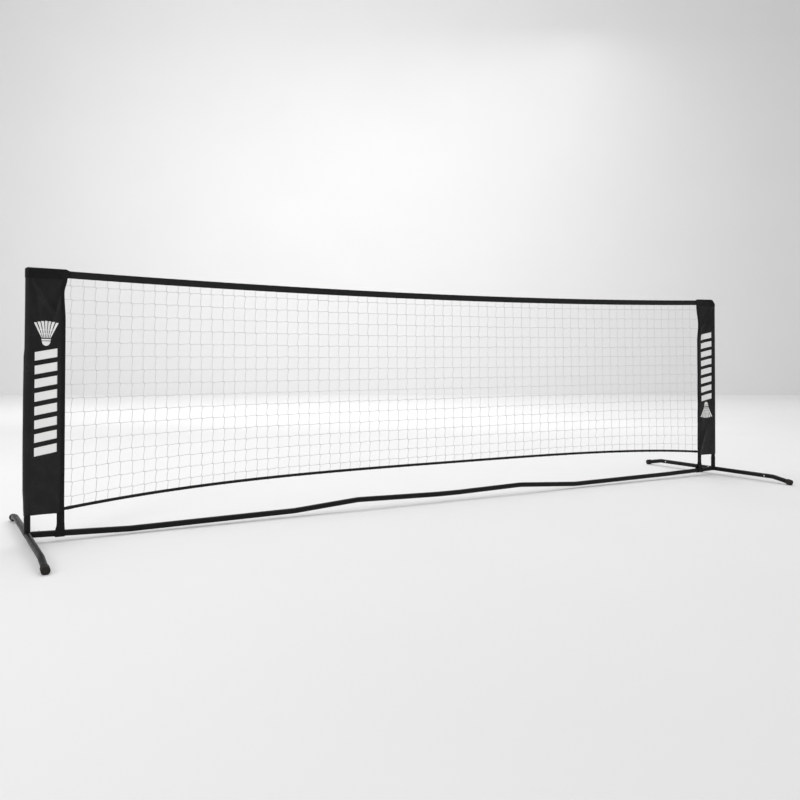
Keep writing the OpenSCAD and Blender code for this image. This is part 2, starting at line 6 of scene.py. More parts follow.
import bmesh
import bpy
import numpy as np
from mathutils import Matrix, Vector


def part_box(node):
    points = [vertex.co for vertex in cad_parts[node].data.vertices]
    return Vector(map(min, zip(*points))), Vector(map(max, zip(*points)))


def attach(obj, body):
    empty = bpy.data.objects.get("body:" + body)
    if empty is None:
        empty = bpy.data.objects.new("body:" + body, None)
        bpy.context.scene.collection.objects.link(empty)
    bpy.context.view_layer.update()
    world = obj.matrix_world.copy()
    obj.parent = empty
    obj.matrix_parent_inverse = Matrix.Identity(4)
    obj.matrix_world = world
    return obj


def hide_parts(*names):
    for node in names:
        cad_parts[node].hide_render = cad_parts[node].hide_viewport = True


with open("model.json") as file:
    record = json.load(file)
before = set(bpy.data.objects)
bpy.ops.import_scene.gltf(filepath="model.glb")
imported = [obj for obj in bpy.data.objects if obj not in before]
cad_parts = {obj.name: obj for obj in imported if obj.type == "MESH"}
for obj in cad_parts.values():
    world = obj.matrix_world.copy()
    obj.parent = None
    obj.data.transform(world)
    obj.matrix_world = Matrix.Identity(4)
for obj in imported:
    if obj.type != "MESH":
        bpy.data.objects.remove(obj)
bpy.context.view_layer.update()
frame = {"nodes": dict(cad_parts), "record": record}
chance = np.random.default_rng(67)

# ---- sizes, in metres

MM = 0.001
LEFT = -1
RIGHT = 1
SIDES = {LEFT: "left", RIGHT: "right"}

foot_low, foot_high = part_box("foot_tube_left")
HALF_SPAN = -(foot_low.x + foot_high.x) / 2
RAIL_Z = (foot_low.z + foot_high.z) / 2
TUBE_R = (foot_high.z - foot_low.z) / 2
NET_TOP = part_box("panel_hem_left")[1].z
BAND_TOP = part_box("top_band")[1].z
BAND_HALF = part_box("top_band")[1].x
CORD_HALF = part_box("bottom_cord")[1].x
PANEL_LOW = {side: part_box(f"side_panel_{name}")[0].z for side, name in SIDES.items()}

LEAN = math.radians(0.6)
TOP_H = NET_TOP - RAIL_Z
PANEL_W = 104 * MM
HEM_H = 31 * MM
HEM_FALL = 1 * MM
CORNER_RUN = {LEFT: 7 * MM, RIGHT: 21 * MM}
CORNER_FALL = {LEFT: 5 * MM, RIGHT: 28 * MM}
CLOTH = 0.8 * MM
SLEEVE_R = 10.45 * MM - CLOTH / 2
LEAF_HALF = 0.6 * MM
HEM_SKIN = 0.9 * MM

BAND_H = 22 * MM
BAND_SAG = 22.5 * MM
CORD_MID = 149.5 * MM
CORD_DROP = {LEFT: 53 * MM, RIGHT: 38 * MM}
CORD_R = 5 * MM
CORD_CURVE = 3.3

STRAP_U = 94.2 * MM
STRAP_W = 22 * MM
STRAP_APEX = 24 * MM
RAIL_SLOPE = {LEFT: 11 / 300, RIGHT: 6 / 300}
RAIL_DROP = {side: STRAP_U * slope for side, slope in RAIL_SLOPE.items()}


def side_point(side, u, h, y):
    """Points u towards the net's middle and h up the leaning post from the foot's axis."""
    u, h, y = np.broadcast_arrays(u, h, y)
    x = side * (HALF_SPAN - u * math.cos(LEAN) - h * math.sin(LEAN))
    z = RAIL_Z - u * math.sin(LEAN) + h * math.cos(LEAN)
    return np.stack([x, y, z], axis=-1)


def band_z(x):
    """Height of the top band's middle line."""
    return BAND_TOP - BAND_H / 2 - BAND_SAG * (1 - (x / BAND_HALF) ** 2)


def cord_z(x):
    """Height of the bottom cord's axis."""
    drop = np.where(np.asarray(x) < 0, CORD_DROP[LEFT], CORD_DROP[RIGHT])
    return CORD_MID - drop * (np.abs(x) / CORD_HALF) ** CORD_CURVE


def eased(value, stops):
    """Value between the stops, a list of (place, height), with level tangents at each."""
    value = np.asarray(value, float)
    result = np.full(value.shape, float(stops[0][1]))
    for (a, low), (b, high) in zip(stops, stops[1:]):
        t = np.clip((value - a) / (b - a), 0, 1)
        result = result + (high - low) * t * t * (3 - 2 * t)
    last_place, last_height = stops[-1]
    return np.where(value > last_place, last_height, result)


# ---- mesh building


class Shape:
    """Grids and copies collected as one mesh, with its UVs in metres."""

    def __init__(self):
        self.points = []
        self.faces = []
        self.uvs = []
        self.size = 0

    def grid(self, points, lengths, closed=False, capped=False):
        """Quads between rows of points. A closed grid's columns join into rings."""
        rows, columns = points.shape[:2]
        start = self.size
        self.points.append(points.reshape(-1, 3))
        self.size += rows * columns
        last = columns if closed else columns - 1
        i, j = (a.ravel() for a in np.meshgrid(np.arange(rows - 1), np.arange(last), indexing="ij"))
        beside = (j + 1) % columns
        row, above = i * columns, (i + 1) * columns
        quads = np.stack([row + j, row + beside, above + beside, above + j], 1)
        along = lengths[0] / (rows - 1)
        across = lengths[1] / last
        corners = [(i, j), (i, j + 1), (i + 1, j + 1), (i + 1, j)]
        uv = np.stack([np.stack([a * along, b * across], 1) for a, b in corners], 1)
        self.faces.extend((quads + start).tolist())
        self.uvs.append(uv.reshape(-1, 2))
        if capped:
            self.cap(start, columns, along)
            self.cap(start + (rows - 1) * columns, columns, along)

    def cap(self, start, columns, reach):
        """Closes a ring of points with one face."""
        self.faces.append(list(range(start, start + columns)))
        turn = np.linspace(0, 2 * math.pi, columns, endpoint=False)
        self.uvs.append(reach * np.stack([np.cos(turn), np.sin(turn)], 1))

    def copies(self, points, faces, uvs, centres, axes):
        """Copies of a small template. axes holds a 3 by 3 matrix for each centre."""
        placed = centres[:, None, :] + np.einsum("pk,nkc->npc", points, axes)
        starts = self.size + len(points) * np.arange(len(centres))
        self.points.append(placed.reshape(-1, 3))
        self.size += len(points) * len(centres)
        for start in starts:
            self.faces.extend([[start + c for c in face] for face in faces])
            self.uvs.append(uvs)

    def made(self, name, finish, body="frame", slot=None, nodes=(), thick=0.0, weld=False):
        """The collected mesh as an object that rides on a body and stands for CAD nodes."""
        mesh = bpy.data.meshes.new(name)
        mesh.from_pydata(np.concatenate(self.points).tolist(), [], self.faces)
        layer = mesh.uv_layers.new(name="size")
        layer.data.foreach_set("uv", np.concatenate(self.uvs).ravel())
        mesh.polygons.foreach_set("use_smooth", np.ones(len(mesh.polygons), bool))
        mesh.materials.append(finish)
        mesh.update()
        piece = bpy.data.objects.new(name, mesh)
        bpy.context.scene.collection.objects.link(piece)
        outwards(mesh, weld)
        if thick:
            modifier = piece.modifiers.new("thickness", "SOLIDIFY")
            modifier.thickness = thick
            modifier.offset = 0
            modifier.use_even_offset = True
            applied(piece)
        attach(piece, body)
        if nodes:
            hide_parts(*nodes)
        return piece


def outwards(mesh, weld):
    """Turns a mesh's faces outwards, and joins points that coincide if asked to."""
    solid = bmesh.new()
    solid.from_mesh(mesh)
    if weld:
        bmesh.ops.remove_doubles(solid, verts=solid.verts, dist=0.01 * MM)
    bmesh.ops.recalc_face_normals(solid, faces=solid.faces)
    solid.to_mesh(mesh)
    solid.free()


def applied(piece):
    """Replaces a piece's mesh by what its modifiers make of it."""
    bpy.context.view_layer.update()
    shown = piece.evaluated_get(bpy.context.evaluated_depsgraph_get())
    mesh = bpy.data.meshes.new_from_object(shown)
    piece.modifiers.clear()
    piece.data = mesh


def ring_frames(path):
    """Tangent and two crosswise directions at each point of a path."""
    tangent = np.gradient(path, axis=0)
    tangent /= np.linalg.norm(tangent, axis=1, keepdims=True)
    helper = np.where(np.abs(tangent[:, 1:2]) < 0.9, [[0.0, 1.0, 0.0]], [[0.0, 0.0, 1.0]])
    first = np.cross(tangent, helper)
    first /= np.linalg.norm(first, axis=1, keepdims=True)
    return tangent, first, np.cross(first, tangent)


def tube(shape, path, radius, sides=8, twist=0.0, closed_ends=True):
    """Tube along a path. radius is a number or one row of radii for each ring."""
    _, first, second = ring_frames(path)
    turn = np.linspace(0, 2 * math.pi, sides, endpoint=False)[None, :]
    turn = turn + twist * np.arange(len(path))[:, None]
    radius = np.broadcast_to(radius, turn.shape)
    ring = np.cos(turn)[..., None] * first[:, None, :] + np.sin(turn)[..., None] * second[:, None, :]
    points = path[:, None, :] + radius[..., None] * ring
    length = float(np.linalg.norm(np.diff(path, axis=0), axis=1).sum())
    shape.grid(points, (length, 2 * math.pi * float(radius.mean())), closed=True, capped=closed_ends)


RING_TURN = 0.4


def lump(segments, rings):
    """Template of a small round lump of radius 1, each ring turned a little past the last."""
    points = [[0, 0, 1.0]]
    for i in range(1, rings):
        fall = math.pi * i / rings
        for k in range(segments):
            turn = 2 * math.pi * k / segments + RING_TURN * i
            points.append([math.sin(fall) * math.cos(turn), math.sin(fall) * math.sin(turn), math.cos(fall)])
    points.append([0, 0, -1.0])
    last = len(points) - 1
    faces = []
    for k in range(segments):
        beside = (k + 1) % segments
        faces.append([0, 1 + k, 1 + beside])
        faces.append([last, last - segments + beside, last - segments + k])
        for i in range(rings - 2):
            low = 1 + i * segments
            faces.append([low + k, low + segments + k, low + segments + beside, low + beside])
    points = np.array(points)
    uvs = np.concatenate([points[face][:, :2] for face in faces]) * 2 * MM
    return points, faces, uvs


def resampled(path, pitch):
    """Evenly spaced points along a path, and the path's directions there."""
    steps = np.linalg.norm(np.diff(path, axis=0), axis=1)
    walked = np.concatenate([[0], np.cumsum(steps)])
    count = max(2, int(walked[-1] / pitch))
    places = (np.arange(count) + 0.5) * walked[-1] / count
    points = np.stack([np.interp(places, walked, path[:, c]) for c in range(3)], 1)
    ahead = np.stack([np.interp(places + pitch / 4, walked, path[:, c]) for c in range(3)], 1)
    behind = np.stack([np.interp(places - pitch / 4, walked, path[:, c]) for c in range(3)], 1)
    direction = ahead - behind
    return points, direction / np.linalg.norm(direction, axis=1, keepdims=True)


STITCH_PITCH = 3.5 * MM
STITCH_LENGTH = 2.7 * MM
STITCH_R = 0.33 * MM


def stitches(shape, path, out):
    """A row of thread stitches along a path, standing half out of the cloth."""
    centres, along = resampled(path, STITCH_PITCH)
    out = np.broadcast_to(np.asarray(out, float), along.shape)
    beside = np.cross(along, out)
    axes = np.stack([beside * STITCH_R * 1.2, out * STITCH_R, along * STITCH_LENGTH / 2], axis=1)
    shape.copies(*lump(5, 4), centres + out * STITCH_R * 0.3, axes)


# ---- finishes


class Finish:
    """A material's nodes, with a short name for each step."""

    def __init__(self, name, colour, roughness, **sockets):
        self.material = bpy.data.materials.new(name)
        self.material.use_nodes = True
        self.tree = self.material.node_tree
        self.shader = self.tree.nodes["Principled BSDF"]
        self.shader.inputs["Base Color"].default_value = (*colour, 1)
        self.shader.inputs["Roughness"].default_value = roughness
        for socket, value in sockets.items():
            self.shader.inputs[socket.replace("_", " ")].default_value = value
        self.normal = None

    def node(self, kind, inputs=(), **settings):
        """A new node, its inputs set to values or linked to other nodes' outputs."""
        made = self.tree.nodes.new(kind)
        for key, value in settings.items():
            setattr(made, key, value)
        for socket, value in dict(inputs).items():
            if isinstance(value, bpy.types.NodeSocket):
                self.tree.links.new(value, made.inputs[socket])
            else:
                made.inputs[socket].default_value = value
        return made

    def place(self, kind="Object", stretch=(1, 1, 1)):
        """Texture coordinates in metres: Object, or UV along and across a piece."""
        source = self.node("ShaderNodeTexCoord").outputs[kind]
        return self.node("ShaderNodeMapping", {"Vector": source, "Scale": stretch}).outputs["Vector"]

    def noise(self, place, size, detail):
        """Noise from 0 to 1 whose lumps are about size metres across."""
        made = self.node("ShaderNodeTexNoise", {"Vector": place, "Scale": 1 / size, "Detail": detail})
        return made.outputs["Fac"]

    def cells(self, place, size):
        """Cells about size metres across, dark at their middles."""
        made = self.node("ShaderNodeTexVoronoi", {"Vector": place, "Scale": 1 / size})
        return made.outputs["Distance"]

    def maths(self, operation, first, second=0.0):
        """One step of arithmetic on values or other nodes' outputs."""
        return self.node("ShaderNodeMath", {0: first, 1: second}, operation=operation).outputs[0]

    def ridges(self, place, along, across):
        """Even ridges from 0 to 1, with their pitches in metres along and across a piece."""
        parts = self.node("ShaderNodeSeparateXYZ", {"Vector": place})
        first = self.maths("MULTIPLY", parts.outputs["X"], 2 * math.pi / along if along else 0.0)
        second = self.maths("MULTIPLY", parts.outputs["Y"], 2 * math.pi / across if across else 0.0)
        wave = self.maths("SINE", self.maths("ADD", first, second))
        return self.spread(wave, -1.0, 1.0, 0.0, 1.0)

    def spread(self, value, low, high, new_low, new_high):
        """Maps low..high to new_low..new_high."""
        inputs = {"Value": value, "From Min": low, "From Max": high, "To Min": new_low, "To Max": new_high}
        return self.node("ShaderNodeMapRange", inputs).outputs["Result"]

    def colour(self, factor, first, second):
        """Mixes two colours, or a colour over what an earlier step gave, and shows the result."""
        made = self.node("ShaderNodeMix", {"Factor": factor}, data_type="RGBA")
        for index, value in ((6, first), (7, second)):
            if isinstance(value, bpy.types.NodeSocket):
                self.tree.links.new(value, made.inputs[index])
            else:
                made.inputs[index].default_value = (*value, 1)
        self.tree.links.new(made.outputs[2], self.shader.inputs["Base Color"])
        return made.outputs[2]

    def gloss(self, value):
        """Roughness from a node."""
        self.tree.links.new(value, self.shader.inputs["Roughness"])

    def relief(self, height, depth):
        """Adds bumps that stand depth metres high."""
        inputs = {"Height": height, "Distance": depth, "Strength": 1.0}
        if self.normal:
            inputs["Normal"] = self.normal
        self.normal = self.node("ShaderNodeBump", inputs).outputs["Normal"]
        self.tree.links.new(self.normal, self.shader.inputs["Normal"])


def shaded(colour, share):
    """A colour made darker or paler."""
    return tuple(c * share for c in colour)


def powder_coat():
    """Satin black coat with an orange-peel skin, dust and fine scuffs."""
    black = (0.004, 0.004, 0.0045)
    f = Finish("powder_coat", black, 0.34, Coat_Weight=0.03, Coat_Roughness=0.15, Specular_IOR_Level=0.18)
    place = f.place()
    dust = f.spread(f.noise(place, 60 * MM, 6), 0.5, 0.8, 0.0, 1.0)
    base = f.colour(dust, (0.003, 0.003, 0.0034), (0.008, 0.008, 0.0078))
    scuffs = f.spread(f.noise(f.place(stretch=(1, 6, 6)), 9 * MM, 8), 0.62, 0.74, 0.0, 0.7)
    f.colour(scuffs, base, (0.022, 0.022, 0.023))
    f.gloss(f.spread(f.noise(place, 25 * MM, 5), 0.3, 0.7, 0.34, 0.46))
    f.relief(f.noise(place, 1.6 * MM, 1), 0.05 * MM)
    f.relief(f.noise(place, 14 * MM, 2), 0.08 * MM)
    return f.material


def plated(name, colour, roughness, grain):
    """Plated steel with drawing lines and a faint spangle."""
    f = Finish(name, colour, roughness, Metallic=1.0)
    place = f.place()
    lines = f.noise(f.place(stretch=(0.06, 1, 1)), grain, 5)
    spangle = f.cells(place, 5 * MM)
    tone = f.colour(f.spread(spangle, 0.1, 0.6, 0.0, 0.35), colour, shaded(colour, 0.72))
    tarnish = f.spread(f.noise(place, 11 * MM, 6), 0.55, 0.75, 0.0, 0.4)
    f.colour(tarnish, tone, shaded(colour, 0.45))
    f.gloss(f.spread(lines, 0.3, 0.7, roughness * 0.7, roughness * 1.4))
    f.relief(lines, 0.012 * MM)
    return f.material


def rubber():
    """Matt moulded rubber with a dusty bloom and scuffed flecks."""
    f = Finish("rubber", (0.012, 0.010, 0.007), 0.72, Specular_IOR_Level=0.35)
    place = f.place()
    bloom = f.spread(f.noise(place, 16 * MM, 6), 0.45, 0.75, 0.0, 0.8)
    base = f.colour(bloom, (0.010, 0.0085, 0.0065), (0.030, 0.026, 0.021))
    flecks = f.spread(f.noise(place, 1.1 * MM, 4), 0.68, 0.74, 0.0, 0.6)
    f.colour(flecks, base, (0.055, 0.05, 0.045))
    f.gloss(f.spread(f.noise(place, 4 * MM, 4), 0.3, 0.7, 0.6, 0.85))
    f.relief(f.noise(place, 0.7 * MM, 3), 0.06 * MM)
    return f.material


def plastic():
    """Matt plastic with a fine spark-eroded grain."""
    f = Finish("plastic", (0.02, 0.02, 0.02), 0.5)
    place = f.place()
    clouds = f.spread(f.noise(place, 12 * MM, 4), 0.3, 0.7, 0.0, 1.0)
    f.colour(clouds, (0.016, 0.016, 0.016), (0.026, 0.026, 0.027))
    f.gloss(f.spread(f.noise(place, 3 * MM, 3), 0.3, 0.7, 0.4, 0.6))
    f.relief(f.noise(place, 0.4 * MM, 2), 0.03 * MM)
    return f.material


WEAVE_PITCH = 0.62 * MM
WEAVE_DEPTH = 0.12 * MM


def woven(name, dark, light, roughness, shine):
    """Plain-woven coated cloth: crossing threads, slubs, and worn paler patches."""
    f = Finish(name, dark, roughness, Sheen_Weight=0.03, Sheen_Roughness=0.4, Specular_IOR_Level=shine)
    place = f.place("UV")
    warp = f.ridges(place, 0, WEAVE_PITCH)
    weft = f.ridges(place, WEAVE_PITCH, 0)
    weave = f.maths("MULTIPLY", warp, weft)
    slubs = f.noise(f.place("UV", (1, 12, 1)), 9 * MM, 4)
    wear = f.spread(f.noise(f.place(), 45 * MM, 6), 0.45, 0.72, 0.0, 0.7)
    base = f.colour(weave, shaded(dark, 0.72), light)
    base = f.colour(f.spread(slubs, 0.6, 0.75, 0.0, 0.4), base, light)
    f.colour(wear, base, shaded(light, 1.35))
    f.gloss(f.spread(f.noise(f.place(), 30 * MM, 4), 0.3, 0.7, roughness - 0.08, roughness + 0.08))
    f.relief(weave, WEAVE_DEPTH)
    f.relief(slubs, WEAVE_DEPTH * 0.5)
    f.relief(f.noise(f.place(), 14 * MM, 4), 0.35 * MM)
    return f.material


def ribbed(name, dark, light, rib, pick, depth):
    """Webbing: ribs along the tape, with the picks that cross them."""
    f = Finish(name, dark, 0.66, Sheen_Weight=0.06, Sheen_Roughness=0.4, Specular_IOR_Level=0.2)
    place = f.place("UV")
    herring = f.maths("MULTIPLY", f.ridges(place, pick, rib), f.ridges(place, -pick, rib))
    ribs = f.ridges(place, 0, rib)
    weave = f.maths("ADD", f.maths("MULTIPLY", herring, 0.6), f.maths("MULTIPLY", ribs, 0.4))
    fuzz = f.noise(f.place(), 0.5 * MM, 3)
    base = f.colour(weave, dark, light)
    f.colour(f.spread(fuzz, 0.6, 0.8, 0.0, 0.5), base, shaded(light, 1.6))
    f.gloss(f.spread(f.noise(f.place(), 8 * MM, 4), 0.3, 0.7, 0.58, 0.76))
    f.relief(weave, depth)
    f.relief(fuzz, 0.05 * MM)
    return f.material


def braided(name, dark, light, along, across, depth):
    """Braid: strands that run round a cord both ways, with loose fibres."""
    f = Finish(name, dark, 0.6, Sheen_Weight=0.05, Specular_IOR_Level=0.2)
    place = f.place("UV")
    strands = f.maths("MAXIMUM", f.ridges(place, along, across), f.ridges(place, -along, across))
    fibres = f.noise(f.place("UV", (1, 8, 1)), 1.2 * MM, 4)
    base = f.colour(strands, dark, light)
    f.colour(f.spread(fibres, 0.55, 0.75, 0.0, 0.5), base, tuple(min(c * 1.5, 0.9) for c in light))
    f.gloss(f.spread(f.noise(f.place(), 6 * MM, 4), 0.3, 0.7, 0.5, 0.7))
    f.relief(strands, depth)
    f.relief(fibres, depth * 0.4)
    return f.material


def twisted(name, dark, light, along, across, depth, roughness):
    """Twine: strands that run round it one way, with a dusty grey in the lay."""
    f = Finish(name, light, roughness, Specular_IOR_Level=0.3)
    lay = f.ridges(f.place("UV"), along, across)
    base = f.colour(lay, dark, light)
    grime = f.spread(f.noise(f.place(), 35 * MM, 5), 0.5, 0.75, 0.0, 0.5)
    f.colour(grime, base, shaded(light, 0.82))
    f.gloss(f.spread(f.noise(f.place(), 5 * MM, 3), 0.3, 0.7, roughness - 0.1, roughness + 0.1))
    f.relief(lay, depth)
    return f.material


def ink():
    """White screen print that lies in the weave and thins a little where it is rubbed."""
    f = Finish("print_ink", (0.94, 0.94, 0.93), 0.5)
    place = f.place()
    rubbed = f.spread(f.noise(place, 3 * MM, 8), 0.58, 0.72, 0.0, 0.45)
    f.colour(rubbed, (0.95, 0.95, 0.94), (0.90, 0.90, 0.89))
    f.gloss(f.spread(f.noise(place, 6 * MM, 4), 0.3, 0.7, 0.42, 0.6))
    f.relief(f.noise(place, 0.6 * MM, 2), 0.05 * MM)
    return f.material


FINISHES = {
    "powder_coat": powder_coat(),
    "zinc_steel": plated("zinc_steel", (0.55, 0.56, 0.57), 0.34, 1.5 * MM),
    "bright_steel": plated("bright_steel", (0.78, 0.78, 0.79), 0.2, 0.8 * MM),
    "rubber": rubber(),
    "plastic": plastic(),
    "panel_cloth": woven("panel_cloth", (0.004, 0.004, 0.0043), (0.010, 0.010, 0.0104), 0.34, 0.27),
    # the hem's finish is the panel's cloth with darker colours: painted shade on the folded hem at the top
    # of each panel
    "hem_painted_shade_cloth": woven("hem_painted_shade_cloth", (0.001, 0.001, 0.0012), (0.003, 0.003, 0.0032), 0.42, 0.22),
    "webbing": ribbed(
        "webbing", (0.003, 0.003, 0.0033), (0.008, 0.008, 0.0085), 1.5 * MM, 2.2 * MM, 0.2 * MM
    ),
    "band_cloth": ribbed(
        "band_cloth", (0.009, 0.009, 0.0095), (0.022, 0.022, 0.023), 1.1 * MM, 1.6 * MM, 0.15 * MM
    ),
    "cord": braided("cord", (0.002, 0.002, 0.002), (0.006, 0.006, 0.006), 9 * MM, 3.5 * MM, 0.3 * MM),
    "twine": twisted("twine", (0.64, 0.645, 0.65), (0.86, 0.865, 0.87), 4 * MM, 1.9 * MM, 0.15 * MM, 0.55),
    "thread": twisted(
        "thread", (0.006, 0.006, 0.006), (0.02, 0.02, 0.021), 0.8 * MM, 0.7 * MM, 0.04 * MM, 0.5
    ),
    "print_ink": ink(),
}

for part in frame["record"]["subparts"]:
    data = frame["nodes"][part["node"]].data
    data.materials.clear()
    data.materials.append(FINISHES[part["material_slot"]])


# ---- side panels

TAPER = 60 * MM
TAPER_POWER = 1.6
TAPER_SLOPE = TAPER_POWER * (SLEEVE_R - LEAF_HALF) / TAPER
TANGENT = math.atan(TAPER_SLOPE)
TANGENT_U = SLEEVE_R * math.sin(TANGENT)
TANGENT_Y = SLEEVE_R * math.cos(TANGENT)
TAPER_REACH = TAPER_POWER * (TANGENT_Y - LEAF_HALF) / TAPER_SLOPE

# inner edge of each panel: heights above the foot's axis, and distances from the post
INNER_EDGE = {
    LEFT: [(0.64, 0.1030), (0.727, 0.0990), (0.771, 0.1070), (0.79, 0.1070)],
    RIGHT: [(0.60, 0.1032), (0.672, 0.0980), (0.775, 0.1100), (0.79, 0.1100)],
}

FOLD_DEPTH = 2.5
FOLD_FADE = 0.3
FOLD_SPREAD = 0.5

# folds of each panel: two ends as (distance from the post, height), half width, and rise before
# FOLD_DEPTH deepens it
FOLDS = {
    LEFT: [
        ((0.010, 0.762), (0.066, 0.676), 5.5 * MM, 2.6 * MM),
        ((0.104, 0.762), (0.078, 0.655), 5.0 * MM, 1.6 * MM),
        ((0.100, 0.748), (0.058, 0.610), 7.0 * MM, -1.8 * MM),
        ((0.020, 0.735), (0.034, 0.560), 8.0 * MM, -1.2 * MM),
        ((0.030, 0.300), (0.090, 0.180), 14.0 * MM, 1.0 * MM),
        ((0.098, 0.058), (0.060, 0.160), 8.0 * MM, 1.6 * MM),
        ((0.096, 0.058), (0.088, 0.210), 6.0 * MM, -1.2 * MM),
    ],
    RIGHT: [
        ((0.006, 0.748), (0.050, 0.664), 6.0 * MM, -2.8 * MM),
        ((0.016, 0.762), (0.062, 0.680), 6.0 * MM, 2.0 * MM),
        ((0.104, 0.765), (0.080, 0.640), 6.0 * MM, 1.8 * MM),
        ((0.100, 0.760), (0.052, 0.600), 9.0 * MM, -1.4 * MM),
        ((0.040, 0.420), (0.085, 0.300), 15.0 * MM, 1.0 * MM),
        ((0.098, 0.068), (0.056, 0.180), 8.0 * MM, 1.6 * MM),
        ((0.096, 0.068), (0.090, 0.240), 6.0 * MM, -1.2 * MM),
    ],
}


# slack of each sleeve: heights above the foot's axis, and how far its outside hangs off the post
SLACK = {
    LEFT: [
        (0.06, 0.0), (0.085, 1.5 * MM), (0.14, 4.5 * MM), (0.26, 5.5 * MM), (0.40, 5.2 * MM),
        (0.53, 4.0 * MM), (0.56, 1.0 * MM), (0.70, 0.0),
    ],
    RIGHT: [(0.07, 0.0), (0.16, 1.6 * MM), (0.50, 2.2 * MM), (0.70, 0.0)],
}


def inner_edge(side, h):
    """Distance of a panel's inner edge from the post's axis."""
    return eased(h, INNER_EDGE[side])


def leaf_half(u):
    """Half distance between a panel's two leaves, measured at the middle of the cloth."""
    share = np.clip((u - TANGENT_U) / TAPER_REACH, 0, 1)
    return LEAF_HALF + (TANGENT_Y - LEAF_HALF) * (1 - share) ** TAPER_POWER


def fold_line(u, h, start, end, half_width, rise):
    """Ridge or valley along a line, wider towards its end and fading out past both ends."""
    a, b = np.array(start), np.array(end)
    along = b - a
    length = np.linalg.norm(along)
    along = along / length
    t = (u - a[0]) * along[0] + (h - a[1]) * along[1]
    aside = (u - a[0]) * -along[1] + (h - a[1]) * along[0]
    fade = np.clip(1 - np.maximum(-t, t - length) / (FOLD_FADE * length), 0, 1)
    spread = half_width * (1 + FOLD_SPREAD * np.clip(t / length, 0, 1))
    return FOLD_DEPTH * rise * fade * fade * np.exp(-((aside / spread) ** 2))


WAVE_RISE = 0.55 * MM


def drape(side, u, h):
    """How far both leaves stand off the flat, to the front where positive."""
    free = eased(u, [(4 * MM, 0.0), (20 * MM, 1.0)])
    waves = 0.55 * np.sin(h / 0.043 + 1.3 * side + u / 0.05) + 0.5 * np.sin(h / 0.071 - u / 0.03)
    waves = waves + 0.35 * np.sin(h / 0.019 + u / 0.012 + side)
    lines = sum(fold_line(u, h, *fold) for fold in FOLDS[side])
    return free * (waves * WAVE_RISE + lines)


def leaf_point(side, u, h, face, lift):
    """Point on a panel's front (face -1) or back leaf, lift metres off its middle surface."""
    return side_point(side, u, h, face * (leaf_half(u) + lift) - drape(side, u, h))


LEAF_COLUMNS = 34
SLEEVE_COLUMNS = 19
PANEL_ROWS = 184
SLEEVE_TURNS = np.linspace(math.pi / 2 - TANGENT, 3 * math.pi / 2 + TANGENT, SLEEVE_COLUMNS)
LEAF_SHARES = np.linspace(1, 0, LEAF_COLUMNS, endpoint=False)
HEM_LIFT = CLOTH / 2 + HEM_SKIN
HEM_REACH = 11 * MM


def strip_u(edge, lift):
    """Distance from the post of each column of the cloth: front leaf, sleeve, back leaf."""
    leaf = TANGENT_U + (edge - TANGENT_U) * LEAF_SHARES
    return np.concatenate([leaf, (SLEEVE_R + lift) * np.cos(SLEEVE_TURNS), leaf[::-1]])


def strip(side, h, edge, lift):
    """A row of cloth points round the sleeve. h is the height of each column."""
    u = strip_u(edge, lift)
    front, back = slice(0, LEAF_COLUMNS), slice(len(u) - LEAF_COLUMNS, len(u))
    sleeve = slice(front.stop, back.start)
    slack = eased(h[sleeve], SLACK[side]) * np.sin((SLEEVE_TURNS - SLEEVE_TURNS[0]) / 2) ** 2
    return np.concatenate([
        leaf_point(side, u[front], h[front], -1, lift),
        side_point(side, u[sleeve] - slack, h[sleeve], -(SLEEVE_R + lift) * np.sin(SLEEVE_TURNS)),
        leaf_point(side, u[back], h[back], 1, lift),
    ])


def top_edge(side, u):
    """Height of a panel's top edge above the foot's axis."""
    outside = -(SLEEVE_R + HEM_LIFT)
    level = TOP_H - np.maximum(u, 0) * HEM_FALL / PANEL_W
    slant = np.clip((outside + CORNER_RUN[side] - u) / CORNER_RUN[side], 0, 1)
    return level - CORNER_FALL[side] * slant


def panel(side):
    """The sleeved panel's cloth, one strip round the post."""
    low = PANEL_LOW[side] - RAIL_Z + 1 * MM
    top = top_edge(side, strip_u(PANEL_W, 0.0)) - 4 * MM
    rows = []
    for share in np.linspace(0, 1, PANEL_ROWS):
        h = low + share * (top - low)
        rows.append(strip(side, h, inner_edge(side, h[0]), 0.0))
    shape = Shape()
    shape.grid(np.array(rows), (0.72, 0.24))
    name = SIDES[side]
    cloth = FINISHES["panel_cloth"]
    return shape.made(f"panel_{name}", cloth, "frame", "panel_cloth", [f"side_panel_{name}"], CLOTH)


HEM_LIP = 1.3
HEM_END_FALL = 4.5 * MM
HEM_END_RISE = 10 * MM
HEM_WAVE = 0.4 * MM
HEM_PUFF = 0.7 * MM
DOME_LEAST = 1.2 * MM
DOME_MOST = 4.5 * MM
BAND_STEP = 1 * MM


